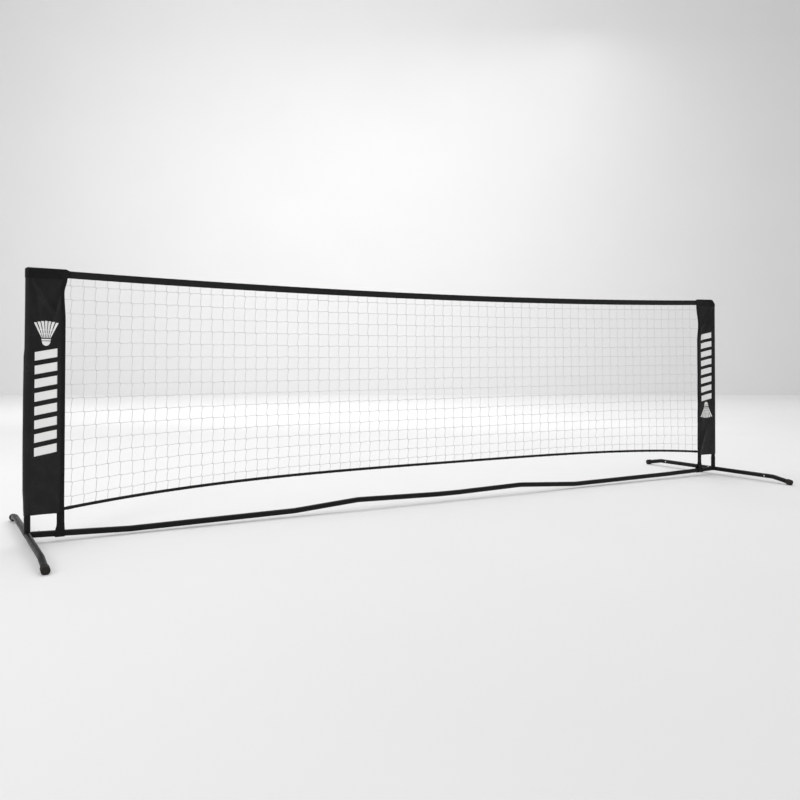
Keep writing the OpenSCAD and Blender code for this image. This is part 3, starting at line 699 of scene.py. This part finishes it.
def hem(side):
    """The folded hem that closes the top of a panel, narrowing where it laps over the band."""
    edge = PANEL_W + HEM_REACH
    u = strip_u(edge, HEM_LIFT)
    end = eased(u, [(PANEL_W, 0.0), (edge, 1.0)])
    top = top_edge(side, u) - HEM_END_FALL * end
    low = TOP_H - HEM_H + HEM_WAVE * np.sin(u / 0.009) - u * HEM_FALL / PANEL_W + HEM_END_RISE * end
    rows = [strip(side, low, edge, CLOTH / 2), strip(side, low, edge, HEM_LIFT * HEM_LIP)]
    full = strip(side, low, edge, HEM_LIFT)
    middle = (full[:, 1] + full[::-1, 1]) / 2
    dome = np.clip(np.abs(full[:, 1] - middle) * 0.5, DOME_LEAST, DOME_MOST)
    shoulder = top - np.minimum(dome, (top - low) * 0.4)
    face = np.sign(full[:, 1] - middle)
    over_band = BAND_STEP * eased(u, [(PANEL_W - 14 * MM, 0.0), (PANEL_W, 1.0)])
    for share in np.linspace(0.02, 1, 12):
        h = low + share * (shoulder - low)
        points = strip(side, h, edge, HEM_LIFT)
        puff = HEM_PUFF * math.sin(math.pi * share) * (0.6 + np.sin(u / 0.013 + side) ** 2)
        points[:, 1] += face * (puff + over_band)
        rows.append(points)
    for turn in np.linspace(0, math.pi / 2, 7)[1:]:
        h = shoulder + (top - shoulder) * math.sin(turn)
        points = strip(side, h, edge, HEM_LIFT)
        points[:, 1] += face * over_band
        middle = (points[:, 1] + points[::-1, 1]) / 2
        points[:, 1] = middle + (points[:, 1] - middle) * math.cos(turn)
        rows.append(points)
    shape = Shape()
    shape.grid(np.array(rows), (0.036, 0.25), closed=True)
    name = SIDES[side]
    # the hem takes the darker copy of the panel's cloth, which is painted shade
    cloth = FINISHES["hem_painted_shade_cloth"]
    return shape.made(f"hem_{name}", cloth, "frame", "panel_cloth", [f"panel_hem_{name}"], weld=True)


WEBBING_FOLD = 10.5 * MM
WEBBING_T = 0.9 * MM
WEBBING_ROWS = 150


def webbing_heights(side):
    """Heights of a webbing's rows, from the panel's bottom to under its hem."""
    low = PANEL_LOW[side] - RAIL_Z + 0.5 * MM
    return np.linspace(low, TOP_H - HEM_H + 2 * MM, WEBBING_ROWS)


def edge_webbing(side):
    """Webbing folded over a panel's inner edge, with a soft round fold."""
    rows = []
    turn = np.linspace(-math.pi / 2, math.pi / 2, 7)
    flat = np.linspace(WEBBING_FOLD, 0, 6)
    crown = 0.25 * MM * np.sin(math.pi * flat / WEBBING_FOLD)
    outer_r = LEAF_HALF + CLOTH / 2 + WEBBING_T
    inner_r = outer_r - WEBBING_T
    outer_y = np.concatenate([-outer_r - crown, outer_r * np.sin(turn), outer_r + crown[::-1]])
    inner_y = np.concatenate([0 * flat - inner_r, inner_r * np.sin(turn), 0 * flat + inner_r])
    y = np.concatenate([outer_y, inner_y[::-1]])
    for h in webbing_heights(side):
        edge = float(inner_edge(side, h))
        front, back = edge - flat, edge - flat[::-1]
        outer_u = np.concatenate([front, edge + outer_r * 0.6 * np.cos(turn), back])
        inner_u = np.concatenate([front, edge + inner_r * 0.3 * np.cos(turn), back])
        u = np.concatenate([outer_u, inner_u[::-1]])
        sway = drape(side, np.minimum(u, edge), h)
        rows.append(side_point(side, u, h, y - sway))
    shape = Shape()
    shape.grid(np.array(rows), (0.70, 0.05), closed=True, capped=True)
    name = f"edge_webbing_{SIDES[side]}"
    return shape.made(name, FINISHES["webbing"], "frame", "webbing", [name])


def panel_stitches(side):
    """Stitches on both faces: two rows along the webbing and one along the hem."""
    shape = Shape()
    heights = webbing_heights(side)
    edges = inner_edge(side, heights)
    lift = CLOTH / 2 + WEBBING_T
    for face in (-1, 1):
        for inset in (WEBBING_FOLD - 1.5 * MM, 1.5 * MM):
            stitches(shape, leaf_point(side, edges - inset, heights, face, lift), [0, face, 0])
        hem_u = np.linspace(TANGENT_U, PANEL_W, 60)
        hem_h = TOP_H - HEM_H + 3 * MM - hem_u * HEM_FALL / PANEL_W
        stitches(shape, leaf_point(side, hem_u, hem_h, face, HEM_LIFT + 0.4 * MM), [0, face, 0])
    return shape.made(f"panel_stitches_{SIDES[side]}", FINISHES["thread"], "frame", "panel_cloth")


# ---- print

PRINT_LIFT = CLOTH / 2 + 0.14 * MM
PRINT_EDGE = CLOTH / 2 - 0.1 * MM
PRINT_MIDDLE = 49 * MM
BAR_COUNT = 8
BAR_PITCH = 41 * MM
BAR_TALL = 26 * MM
BAR_SLANT = 12 * MM
BAR_HALF_W = 32 * MM
BAR_START = {LEFT: 260 * MM, RIGHT: 672 * MM}
EMBLEM_Z = {LEFT: 630 * MM, RIGHT: 306 * MM}


def ink_patch(shape, side, u, z):
    """Thin film on the panel's front over a grid of places, with its rim pressed into the cloth."""
    u = np.pad(u, 1, mode="edge")
    z = np.pad(z, 1, mode="edge")
    lift = np.full(u.shape, PRINT_LIFT)
    lift[0] = lift[-1] = PRINT_EDGE
    lift[:, 0] = lift[:, -1] = PRINT_EDGE
    shape.grid(leaf_point(side, u, z - RAIL_Z, -1, lift), (0.03, 0.03))


def quad(corners, rows, columns):
    """Grid between four corners given as (along, up), anticlockwise."""
    a, b, c, d = (np.array(p, float) for p in corners)
    s = np.linspace(0, 1, columns)[None, :, None]
    t = np.linspace(0, 1, rows)[:, None, None]
    points = (1 - t) * ((1 - s) * a + s * b) + t * ((1 - s) * d + s * c)
    return points[..., 0], points[..., 1]


def tapered(foot, top, rows, columns):
    """Grid between a foot and a top edge, each given as its middle, half width and height."""
    foot_middle, foot_half, low = foot
    top_middle, top_half, high = top
    corners = [
        (foot_middle - foot_half, low), (foot_middle + foot_half, low),
        (top_middle + top_half, high), (top_middle - top_half, high),
    ]
    return quad(corners, rows, columns)


def sector(centre, inner, outer, start, end, stretch):
    """Grid over part of a ring stretched upwards, its angles in degrees from straight up."""
    turn = np.radians(np.linspace(start, end, 25))[:, None]
    radius = np.linspace(inner, outer, 5)[None, :]
    return centre[0] + radius * np.sin(turn), centre[1] + stretch * radius * np.cos(turn)


def shuttlecock():
    """A plain shuttlecock as grids round its own middle: cork, collar, feathers and two threads."""
    grids = [sector((0, -24 * MM), 0.2 * MM, 12 * MM, 90, 270, 1.15)]
    grids.append(tapered((0, 12.5 * MM, -22 * MM), (0, 13.5 * MM, -17 * MM), 3, 8))
    for k in range(-3, 4):
        quill = (k * 3.9 * MM, 1.1 * MM, -14 * MM)
        tip = (k * 10.4 * MM, 4 * MM, (37 - 0.55 * k * k) * MM)
        grids.append(tapered(quill, tip, 9, 4))
    for rise in (-3 * MM, 9 * MM):
        reach = 14 * MM + (rise + 14 * MM) * 0.42
        grids.append(tapered((0, reach, rise), (0, reach, rise + 1.8 * MM), 3, 24))
    return grids


def panel_print(side):
    """Slanted bars and an emblem on the panel's front, the right panel's the other way up."""
    shape = Shape()
    up = -side
    near, far = PRINT_MIDDLE - BAR_HALF_W, PRINT_MIDDLE + BAR_HALF_W
    tall = up * BAR_TALL
    for k in range(BAR_COUNT):
        start = BAR_START[side] + up * k * BAR_PITCH
        end = start + up * BAR_SLANT
        corners = [(near, start), (far, end), (far, end + tall), (near, start + tall)]
        ink_patch(shape, side, *quad(corners, 10, 22))
    for along, rise in shuttlecock():
        ink_patch(shape, side, PRINT_MIDDLE + along, EMBLEM_Z[side] + up * rise)
    return shape.made(f"print_{SIDES[side]}", FINISHES["print_ink"], "frame")


# ---- straps and their tabs

STRAP_LOOP_R = 11.1 * MM
STRAP_T = 1.2 * MM
STRAP_GAP = 0.62 * MM
STRAP_CUP = 0.35 * MM
STRAP_CURL = 0.2 * MM
WRAP_FLARE = {LEFT: 5 * MM, RIGHT: 15 * MM}
WRAP_SHIFT = {LEFT: -0.5, RIGHT: 0.1}


def strap(side):
    """Strap from a panel's bottom corner, down round the rail and back up to its tab."""
    axis_z = RAIL_Z - RAIL_DROP[side]
    top = PANEL_LOW[side] + 12 * MM - axis_z
    lean = math.asin(STRAP_LOOP_R / STRAP_APEX)
    turn = np.linspace(math.pi - lean, 2 * math.pi + lean, 40)
    down = np.linspace(top, STRAP_APEX + 5 * MM, 12)
    y = np.concatenate([0 * down - STRAP_GAP, STRAP_LOOP_R * np.cos(turn), 0 * down + STRAP_GAP])
    z = np.concatenate([down, STRAP_LOOP_R * np.sin(turn), down[::-1]])
    for _ in range(3):
        y[1:-1] = (y[:-2] + 2 * y[1:-1] + y[2:]) / 4
        z[1:-1] = (z[:-2] + 2 * z[1:-1] + z[2:]) / 4
    flare = eased(z, [(-2 * MM, 1.0), (STRAP_APEX + 2 * MM, 0.0)]) * WRAP_FLARE[side]
    across = np.linspace(-0.5, 0.5, 9)
    width = STRAP_W + flare
    u = STRAP_U + width[:, None] * across + (flare * WRAP_SHIFT[side])[:, None]
    cup = STRAP_CUP * (2 * across) ** 2
    curl = STRAP_CURL * np.sin(z[:, None] / 0.006 + 4 * across)
    points = np.stack([
        side * (HALF_SPAN - u),
        y[:, None] * (1 + cup / STRAP_LOOP_R) + curl * 0.5,
        z[:, None] + axis_z + 0 * u,
    ], -1)
    shape = Shape()
    shape.grid(points, (0.19, 0.022))
    name = SIDES[side]
    node = f"rail_strap_{name}"
    return shape.made(f"strap_{name}", FINISHES["webbing"], "frame", "webbing", [node], STRAP_T)


TAB_W = 20 * MM
TAB_CORNER = 3 * MM
TAB_SEAM = 0.84

# the tab's rings from its front to its back: share of its outline, and share of its thickness
TAB_RINGS = [
    (0.35, 0.02), (0.75, 0.0), (0.96, 0.12), (1.0, 0.35),
    (1.0, 0.65), (0.96, 0.88), (0.75, 1.0), (0.35, 0.98),
]


def rounded_outline(half_w, low, high, corner, steps=5):
    """Outline of an upright rectangle with round corners."""
    points = []
    for x, z, start in ((1, 1, 0), (-1, 1, 90), (-1, -1, 180), (1, -1, 270)):
        middle = (x * (half_w - corner), high - corner if z > 0 else low + corner)
        for k in range(steps + 1):
            turn = math.radians(start + 90 * k / steps)
            points.append((middle[0] + corner * math.cos(turn), middle[1] + corner * math.sin(turn)))
    return np.array(points)


def strap_tab(side):
    """Hook-and-loop end of a strap: a soft-edged slab with a sewn border."""
    name = SIDES[side]
    body = f"strap_tab_{name}"
    low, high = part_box(f"strap_tab_{name}")
    middle_x = (low.x + high.x) / 2
    outline = rounded_outline(TAB_W / 2, low.z, high.z, TAB_CORNER)
    centre = outline.mean(axis=0)
    thick = high.y - low.y
    rows = []
    for reach, depth in TAB_RINGS:
        ring = centre + (outline - centre) * reach
        y = low.y + thick * depth + 0 * ring[:, 0]
        rows.append(np.stack([middle_x + ring[:, 0], y, ring[:, 1]], -1))
    shape = Shape()
    shape.grid(np.array(rows), (0.03, 0.09), closed=True, capped=True)
    shape.made(f"tab_{name}", FINISHES["webbing"], body, "webbing", [body])
    border = centre + (outline - centre) * TAB_SEAM
    border = np.concatenate([border, border[:1]])
    path = np.stack([middle_x + border[:, 0], low.y + 0.02 * MM + 0 * border[:, 0], border[:, 1]], -1)
    seam = Shape()
    stitches(seam, path, [0, -1, 0])
    seam.made(f"tab_stitches_{name}", FINISHES["thread"], body, "webbing")


# ---- band, cords and netting


def band_sway(x):
    """Small sideways ripples of the band and of what it carries."""
    return 0.5 * MM * np.sin(x / 0.11) + 0.35 * MM * np.sin(x / 0.047 + 1.0)


BAND_BEAD_R = 1.95 * MM
BAND_PUCKER = 0.18 * MM


def band_side(z):
    """Distance of the band's hanging sides from its middle plane, at a height from its middle line."""
    return 1.25 * MM + 0.5 * MM * ((z - 2 * MM) / (13 * MM)) ** 2


def top_band():
    """Folded tape over the headline cord: a rounded top and two hanging sides."""
    x = np.linspace(-BAND_HALF, BAND_HALF, 463)
    bead_z = BAND_H / 2 - BAND_BEAD_R - 0.4 * MM
    low = -BAND_H / 2 + 0.2 * MM
    side_z = np.linspace(low, bead_z - 1 * MM, 9)
    side_y = band_side(side_z)
    over = np.linspace(0, math.pi, 9)
    y = np.concatenate([-side_y, -BAND_BEAD_R * np.cos(over), side_y[::-1]])
    z = np.concatenate([side_z, bead_z + BAND_BEAD_R * np.sin(over), side_z[::-1]])
    pucker = BAND_PUCKER * np.sin(x / 0.0062)[:, None] * np.cos(z / 0.0035)[None, :]
    points = np.stack([
        x[:, None] + 0 * y,
        y * (1 + pucker / BAND_BEAD_R * 0.5) + band_sway(x)[:, None],
        band_z(x)[:, None] + z + pucker * 0.6,
    ], -1)
    shape = Shape()
    shape.grid(points, (2 * BAND_HALF, 0.046))
    band = shape.made("band", FINISHES["band_cloth"], "frame", "band_cloth", ["top_band"], CLOTH)
    seams = Shape()
    for face in (-1, 1):
        for rise in (5.2 * MM, -7.6 * MM):
            reach = band_side(rise) + CLOTH / 2
            path = np.stack([x, face * reach + band_sway(x), band_z(x) + rise], -1)
            stitches(seams, path, [0, face, 0])
    seams.made("band_stitches", FINISHES["thread"], "frame", "band_cloth")
    return band


def braid(name, path, radius, sides, strand, node):
    """Braided cord along a path, its strands raised on the mesh."""
    rings, _ = resampled(path, strand / 4)
    turn = np.linspace(0, 2 * math.pi, sides, endpoint=False)[None, :]
    walk = np.arange(len(rings))[:, None] * (math.pi / 4)
    crossing = np.maximum(np.sin(sides / 4 * turn + walk), np.sin(sides / 4 * turn - walk))
    shape = Shape()
    tube(shape, rings, radius * (0.955 + 0.045 * crossing), sides)
    return shape.made(name, FINISHES["cord"], "frame", "cord", [node])


WHIPPING_STEPS = 12
WHIPPING_R = 0.5 * MM


def whipping(shape, path, radius, turns):
    """Thread wound close round a cord."""
    length = float(np.linalg.norm(path[-1] - path[0]))
    rings, _ = resampled(path, length / (turns * WHIPPING_STEPS))
    _, first, second = ring_frames(rings)
    turn = np.arange(len(rings)) * 2 * math.pi / WHIPPING_STEPS
    coil = rings + radius * (np.cos(turn)[:, None] * first + np.sin(turn)[:, None] * second)
    tube(shape, coil, WHIPPING_R, 6)


CORD_TUCK = 6 * MM
HEADLINE_R = 1.3 * MM
HEADLINE_DEPTH = 2.2 * MM


def cord_path(start, end, steps):
    """Points along the bottom cord's axis."""
    x = np.linspace(start, end, steps)
    return np.stack([x, 0 * x, cord_z(x)], -1)


def cords():
    """The headline cord in the band's fold and the bottom cord that the netting is laced to."""
    x = np.linspace(-BAND_HALF + 1 * MM, BAND_HALF - 1 * MM, 400)
    lift = BAND_H / 2 - HEADLINE_DEPTH
    headline = np.stack([x, band_sway(x), band_z(x) + lift], -1)
    braid("headline", headline, HEADLINE_R, 8, 12 * MM, "headline_cord")
    reach = CORD_HALF + CORD_TUCK
    braid("bottom_cord", cord_path(-reach, reach, 600), CORD_R, 16, 8 * MM, "bottom_cord")


THREADS = 67
MIDDLE_THREAD = 34
ROWS = 16
FLAT_ROW = 8
FLAT_Z = 0.475
TWINE_R = 0.9 * MM
TWINE_LOOSE = 0.4 * MM
UPRIGHT_LOOSE = 0.55 * MM
KNOT_R = (2.1 * MM, 1.6 * MM, 1.7 * MM)

# the threads crowd a little towards the left and lean a little, as a net pulled out by hand does;
# their places hold on a sloping line, LEVEL_SLOPE, that is LEVEL_Z high in the middle
THREAD_MIDDLE = -0.1003
THREAD_REACH = 1.3635
THREAD_CROWD = 0.09
THREAD_LEAN = -0.017
THREAD_FAN = -0.018
LEVEL_Z = 0.3439
LEVEL_SLOPE = -0.0335

# gaps under the band and over the cord, in the middle and how much more at the ends
BAND_GAP = (20 * MM, 2 * MM)
CORD_GAP = (23 * MM, 6 * MM)
ROW_BOW = 0.37 * MM


def thread_x(k, z):
    """Place of the k-th upright thread, counted from the left, at height z."""
    share = (k - MIDDLE_THREAD) / (MIDDLE_THREAD - 1)
    x = THREAD_MIDDLE + THREAD_REACH * share + THREAD_CROWD * share**2
    return x + (THREAD_LEAN + THREAD_FAN * share) * (z - LEVEL_Z - LEVEL_SLOPE * x)


def row_z(j, x):
    """Height of the j-th row of knots, counted from the top."""
    share = (x / CORD_HALF) ** 2
    below_band = band_z(x) - BAND_H / 2 - BAND_GAP[0] - BAND_GAP[1] * share
    if j <= FLAT_ROW:
        return FLAT_Z + (FLAT_ROW - j) * (below_band - FLAT_Z) / (FLAT_ROW - 1)
    t = j - FLAT_ROW
    bow = ROW_BOW * (1 - share)
    last = ROWS - FLAT_ROW
    bottom = cord_z(x) + CORD_R + CORD_GAP[0] + CORD_GAP[1] * share
    step = (FLAT_Z - bottom + last * last * bow) / last
    return FLAT_Z - (step * t - bow * t * t)


def knots():
    """Places of all knots as an array of rows, threads and xyz."""
    places = np.zeros((ROWS, THREADS, 3))
    for j in range(1, ROWS + 1):
        for k in range(1, THREADS + 1):
            x = thread_x(k, FLAT_Z)
            for _ in range(3):
                x = thread_x(k, row_z(j, x))
            places[j - 1, k - 1] = (x, band_sway(x) * (1 - j / ROWS), row_z(j, x))
    return places + chance.normal(0, UPRIGHT_LOOSE, places.shape)


def strand(shape, start, end, slack):
    """One length of twine, five rings and a slow twist, bowed a little to one side."""
    share = np.linspace(0, 1, 5)[:, None]
    path = start + (end - start) * share
    path = path + np.sin(math.pi * share) * slack
    tube(shape, path, TWINE_R, 5, twist=0.5, closed_ends=False)


def webbing_point(side, z):
    """Where a thread at height z goes into the webbing."""
    h = (z - RAIL_Z) / math.cos(LEAN)
    u = float(inner_edge(side, h)) - 1.5 * MM
    x, y = side_point(side, u, h, -float(drape(side, u, h)))[:2]
    return np.array([x, y, z])


def netting():
    """Square mesh of knotted twine between the band, the webbing and the bottom cord."""
    shape = Shape()
    places = knots()
    rise = 1.3 * MM
    slip = np.array([0, 0, rise])
    step = np.array([2.1 * MM, 0, 0])
    sag = np.array([-0.5 * MM, 0, 0])
    for j in range(ROWS):
        for k in range(THREADS - 1):
            slack = chance.normal(0, TWINE_LOOSE, 3)
            strand(shape, places[j, k] - slip, places[j, k + 1] + slip, slack)
        for side, k in ((LEFT, 0), (RIGHT, THREADS - 1)):
            end = webbing_point(side, places[j, k, 2] - side * rise)
            strand(shape, places[j, k], end, chance.normal(0, TWINE_LOOSE, 3))
    for k in range(THREADS):
        top_x = thread_x(k + 1, band_z(places[0, k, 0]))
        top = np.array([top_x, band_sway(top_x), band_z(top_x) - BAND_H / 2 + 5 * MM])
        low_x = thread_x(k + 1, cord_z(places[-1, k, 0]))
        low = np.array([low_x, 0.0, cord_z(low_x) + CORD_R * 0.7])
        line = np.concatenate([[top], places[:, k], [low]])
        for start, end in zip(line[:-1], line[1:]):
            strand(shape, start + step, end - step, sag + chance.normal(0, UPRIGHT_LOOSE, 3))
    centres = places.reshape(-1, 3)
    turn = chance.uniform(0, math.pi, len(centres))
    size = chance.uniform(0.9, 1.15, (len(centres), 1, 1))
    zero = 0 * turn
    first = np.stack([np.cos(turn), zero, np.sin(turn)], 1) * KNOT_R[0]
    second = np.stack([zero, zero + KNOT_R[1], zero], 1)
    third = np.stack([-np.sin(turn), zero, np.cos(turn)], 1) * KNOT_R[2]
    shape.copies(*lump(7, 4), centres, size * np.stack([first, second, third], 1))
    return shape.made("netting_twine", FINISHES["twine"], "frame", "twine", ["netting"])


LACING_Z = 0.15
LACE_HALF = 2.6 * MM
END_WHIPPING = (22 * MM, 6 * MM)


def lacing():
    """Black thread that laces the netting to the bottom cord, and the whippings at the cord's ends."""
    shape = Shape()
    for k in range(1, THREADS + 1):
        x = thread_x(k, LACING_Z)
        whipping(shape, cord_path(x - LACE_HALF, x + LACE_HALF, 12), CORD_R + 0.15 * MM, 2)
    for side in SIDES:
        start, end = (side * (CORD_HALF - inset) for inset in END_WHIPPING)
        whipping(shape, cord_path(start, end, 20), CORD_R + 0.2 * MM, 14)
    return shape.made("cord_lacing", FINISHES["thread"], "frame", "cord")


# ---- welds

BEAD_R = 1.25 * MM
BEAD_RIPPLE = 0.22


def weld_bead(shape, path):
    """A rippled bead along a closed path."""
    path = np.concatenate([path, path[:2]])
    ripple = BEAD_R * (1 + BEAD_RIPPLE * np.sin(np.arange(len(path)) * 1.9))
    tube(shape, path, ripple[:, None], 8)


def welds(side):
    """Beads where the socket and the rail's spigot meet a foot tube."""
    shape = Shape()
    turn = np.linspace(0, 2 * math.pi, 90, endpoint=False)
    r = TUBE_R + 0.15 * MM
    across, along = r * np.cos(turn), r * np.sin(turn)
    saddle = np.sqrt(np.maximum(r * r - across * across, 0))
    socket = np.stack([side * HALF_SPAN + across, along, RAIL_Z + saddle], -1)
    weld_bead(shape, socket)
    spigot = np.stack([side * (HALF_SPAN - saddle), along, RAIL_Z + across], -1)
    weld_bead(shape, spigot)
    return shape.made(f"welds_{SIDES[side]}", FINISHES["powder_coat"], "frame", "powder_coat")


# ---- the object

for side, name in SIDES.items():
    cloth = panel(side)
    sewn = [hem(side), edge_webbing(side), panel_stitches(side), panel_print(side)]
    strap(side)
    strap_tab(side)
    welds(side)
band = top_band()
cords()
netting()
lacing()

# ---- camera, floor, wall and light

CAMERA_PLACE = (-1.7907, -2.7415, 0.5638)
CAMERA_TURN = math.radians(29.879)
CAMERA_FALL = math.radians(0.431)
CAMERA_LENS = 38.08
CAMERA_SHIFT = -0.0482

view = bpy.data.cameras.new("camera")
view.lens = CAMERA_LENS
view.sensor_width = 36
view.shift_y = CAMERA_SHIFT
camera = bpy.data.objects.new("camera", view)
camera.location = CAMERA_PLACE
camera.rotation_euler = (math.pi / 2 - CAMERA_FALL, 0, -CAMERA_TURN)
bpy.context.scene.collection.objects.link(camera)
bpy.context.scene.camera = camera

FLOOR_TONE = (0.90, 0.90, 0.90)
FLOOR_REACH = 40.0
WALL_TONE = (0.85, 0.85, 0.85)
WALL_DISTANCE = 12.0
WALL_HEIGHT = 14.0
WORLD_LIGHT = 0.56


def stage_plane(name, corners, colour):
    """One flat sheet of floor or wall with a very slight mottle."""
    mesh = bpy.data.meshes.new(name)
    mesh.from_pydata(corners, [], [[0, 1, 2, 3]])
    f = Finish(name, colour, 0.85, Specular_IOR_Level=0.0)
    mottle = f.spread(f.noise(f.place(), 0.8, 2), 0.3, 0.7, 0.0, 1.0)
    f.colour(mottle, colour, shaded(colour, 0.985))
    mesh.materials.append(f.material)
    plane = bpy.data.objects.new(name, mesh)
    bpy.context.scene.collection.objects.link(plane)


stage_plane("floor", [
    (-FLOOR_REACH, -FLOOR_REACH, 0), (FLOOR_REACH, -FLOOR_REACH, 0),
    (FLOOR_REACH, FLOOR_REACH, 0), (-FLOOR_REACH, FLOOR_REACH, 0),
], FLOOR_TONE)
ahead = np.array([math.sin(CAMERA_TURN), math.cos(CAMERA_TURN)])
beside = np.array([ahead[1], -ahead[0]])
foot = np.array(CAMERA_PLACE[:2]) + ahead * WALL_DISTANCE
ends = [foot - beside * FLOOR_REACH, foot + beside * FLOOR_REACH]
stage_plane("wall", [
    (*ends[0], 0), (*ends[1], 0), (*ends[1], WALL_HEIGHT), (*ends[0], WALL_HEIGHT),
], WALL_TONE)

world = bpy.data.worlds.new("world")
world.use_nodes = True
world.node_tree.nodes["Background"].inputs["Color"].default_value = (1, 1, 1, 1)
world.node_tree.nodes["Background"].inputs["Strength"].default_value = WORLD_LIGHT
bpy.context.scene.world = world
bpy.context.scene.view_settings.view_transform = "Standard"


def soft_light(name, place, target, size, power, colour=(1, 1, 1)):
    """A large rectangular softbox that faces a point."""
    light = bpy.data.lights.new(name, "AREA")
    light.shape = "RECTANGLE"
    light.size, light.size_y = size
    light.energy = power
    light.color = colour
    lamp = bpy.data.objects.new(name, light)
    lamp.location = place
    lamp.visible_camera = False
    aim = np.array(target) - np.array(place)
    tilt = math.atan2(math.hypot(aim[0], aim[1]), -aim[2])
    lamp.rotation_euler = (tilt, 0, math.atan2(-aim[0], aim[1]))
    bpy.context.scene.collection.objects.link(lamp)


soft_light("overhead", (-0.6, 1.3, 4.2), (-0.6, 1.3, 0.0), (8.0, 4.0), 110)
soft_light("far", (1.8, 4.8, 5.2), (1.8, 4.8, 0.0), (9.0, 2.5), 58)
wash = foot - ahead * 5.0 - beside * 1.3
wash_target = foot - beside * 1.3
soft_light("wash", (*wash, 4.2), (*wash_target, 3.1), (7.0, 3.4), 130)
soft_light("key", (-4.2, -2.6, 2.4), (-1.4, 0.0, 0.5), (1.2, 1.2), 32)
soft_light("rim", (3.4, 2.6, 1.6), (-1.2, -0.1, 0.0), (1.2, 0.5), 5, (0.92, 0.96, 1.0))
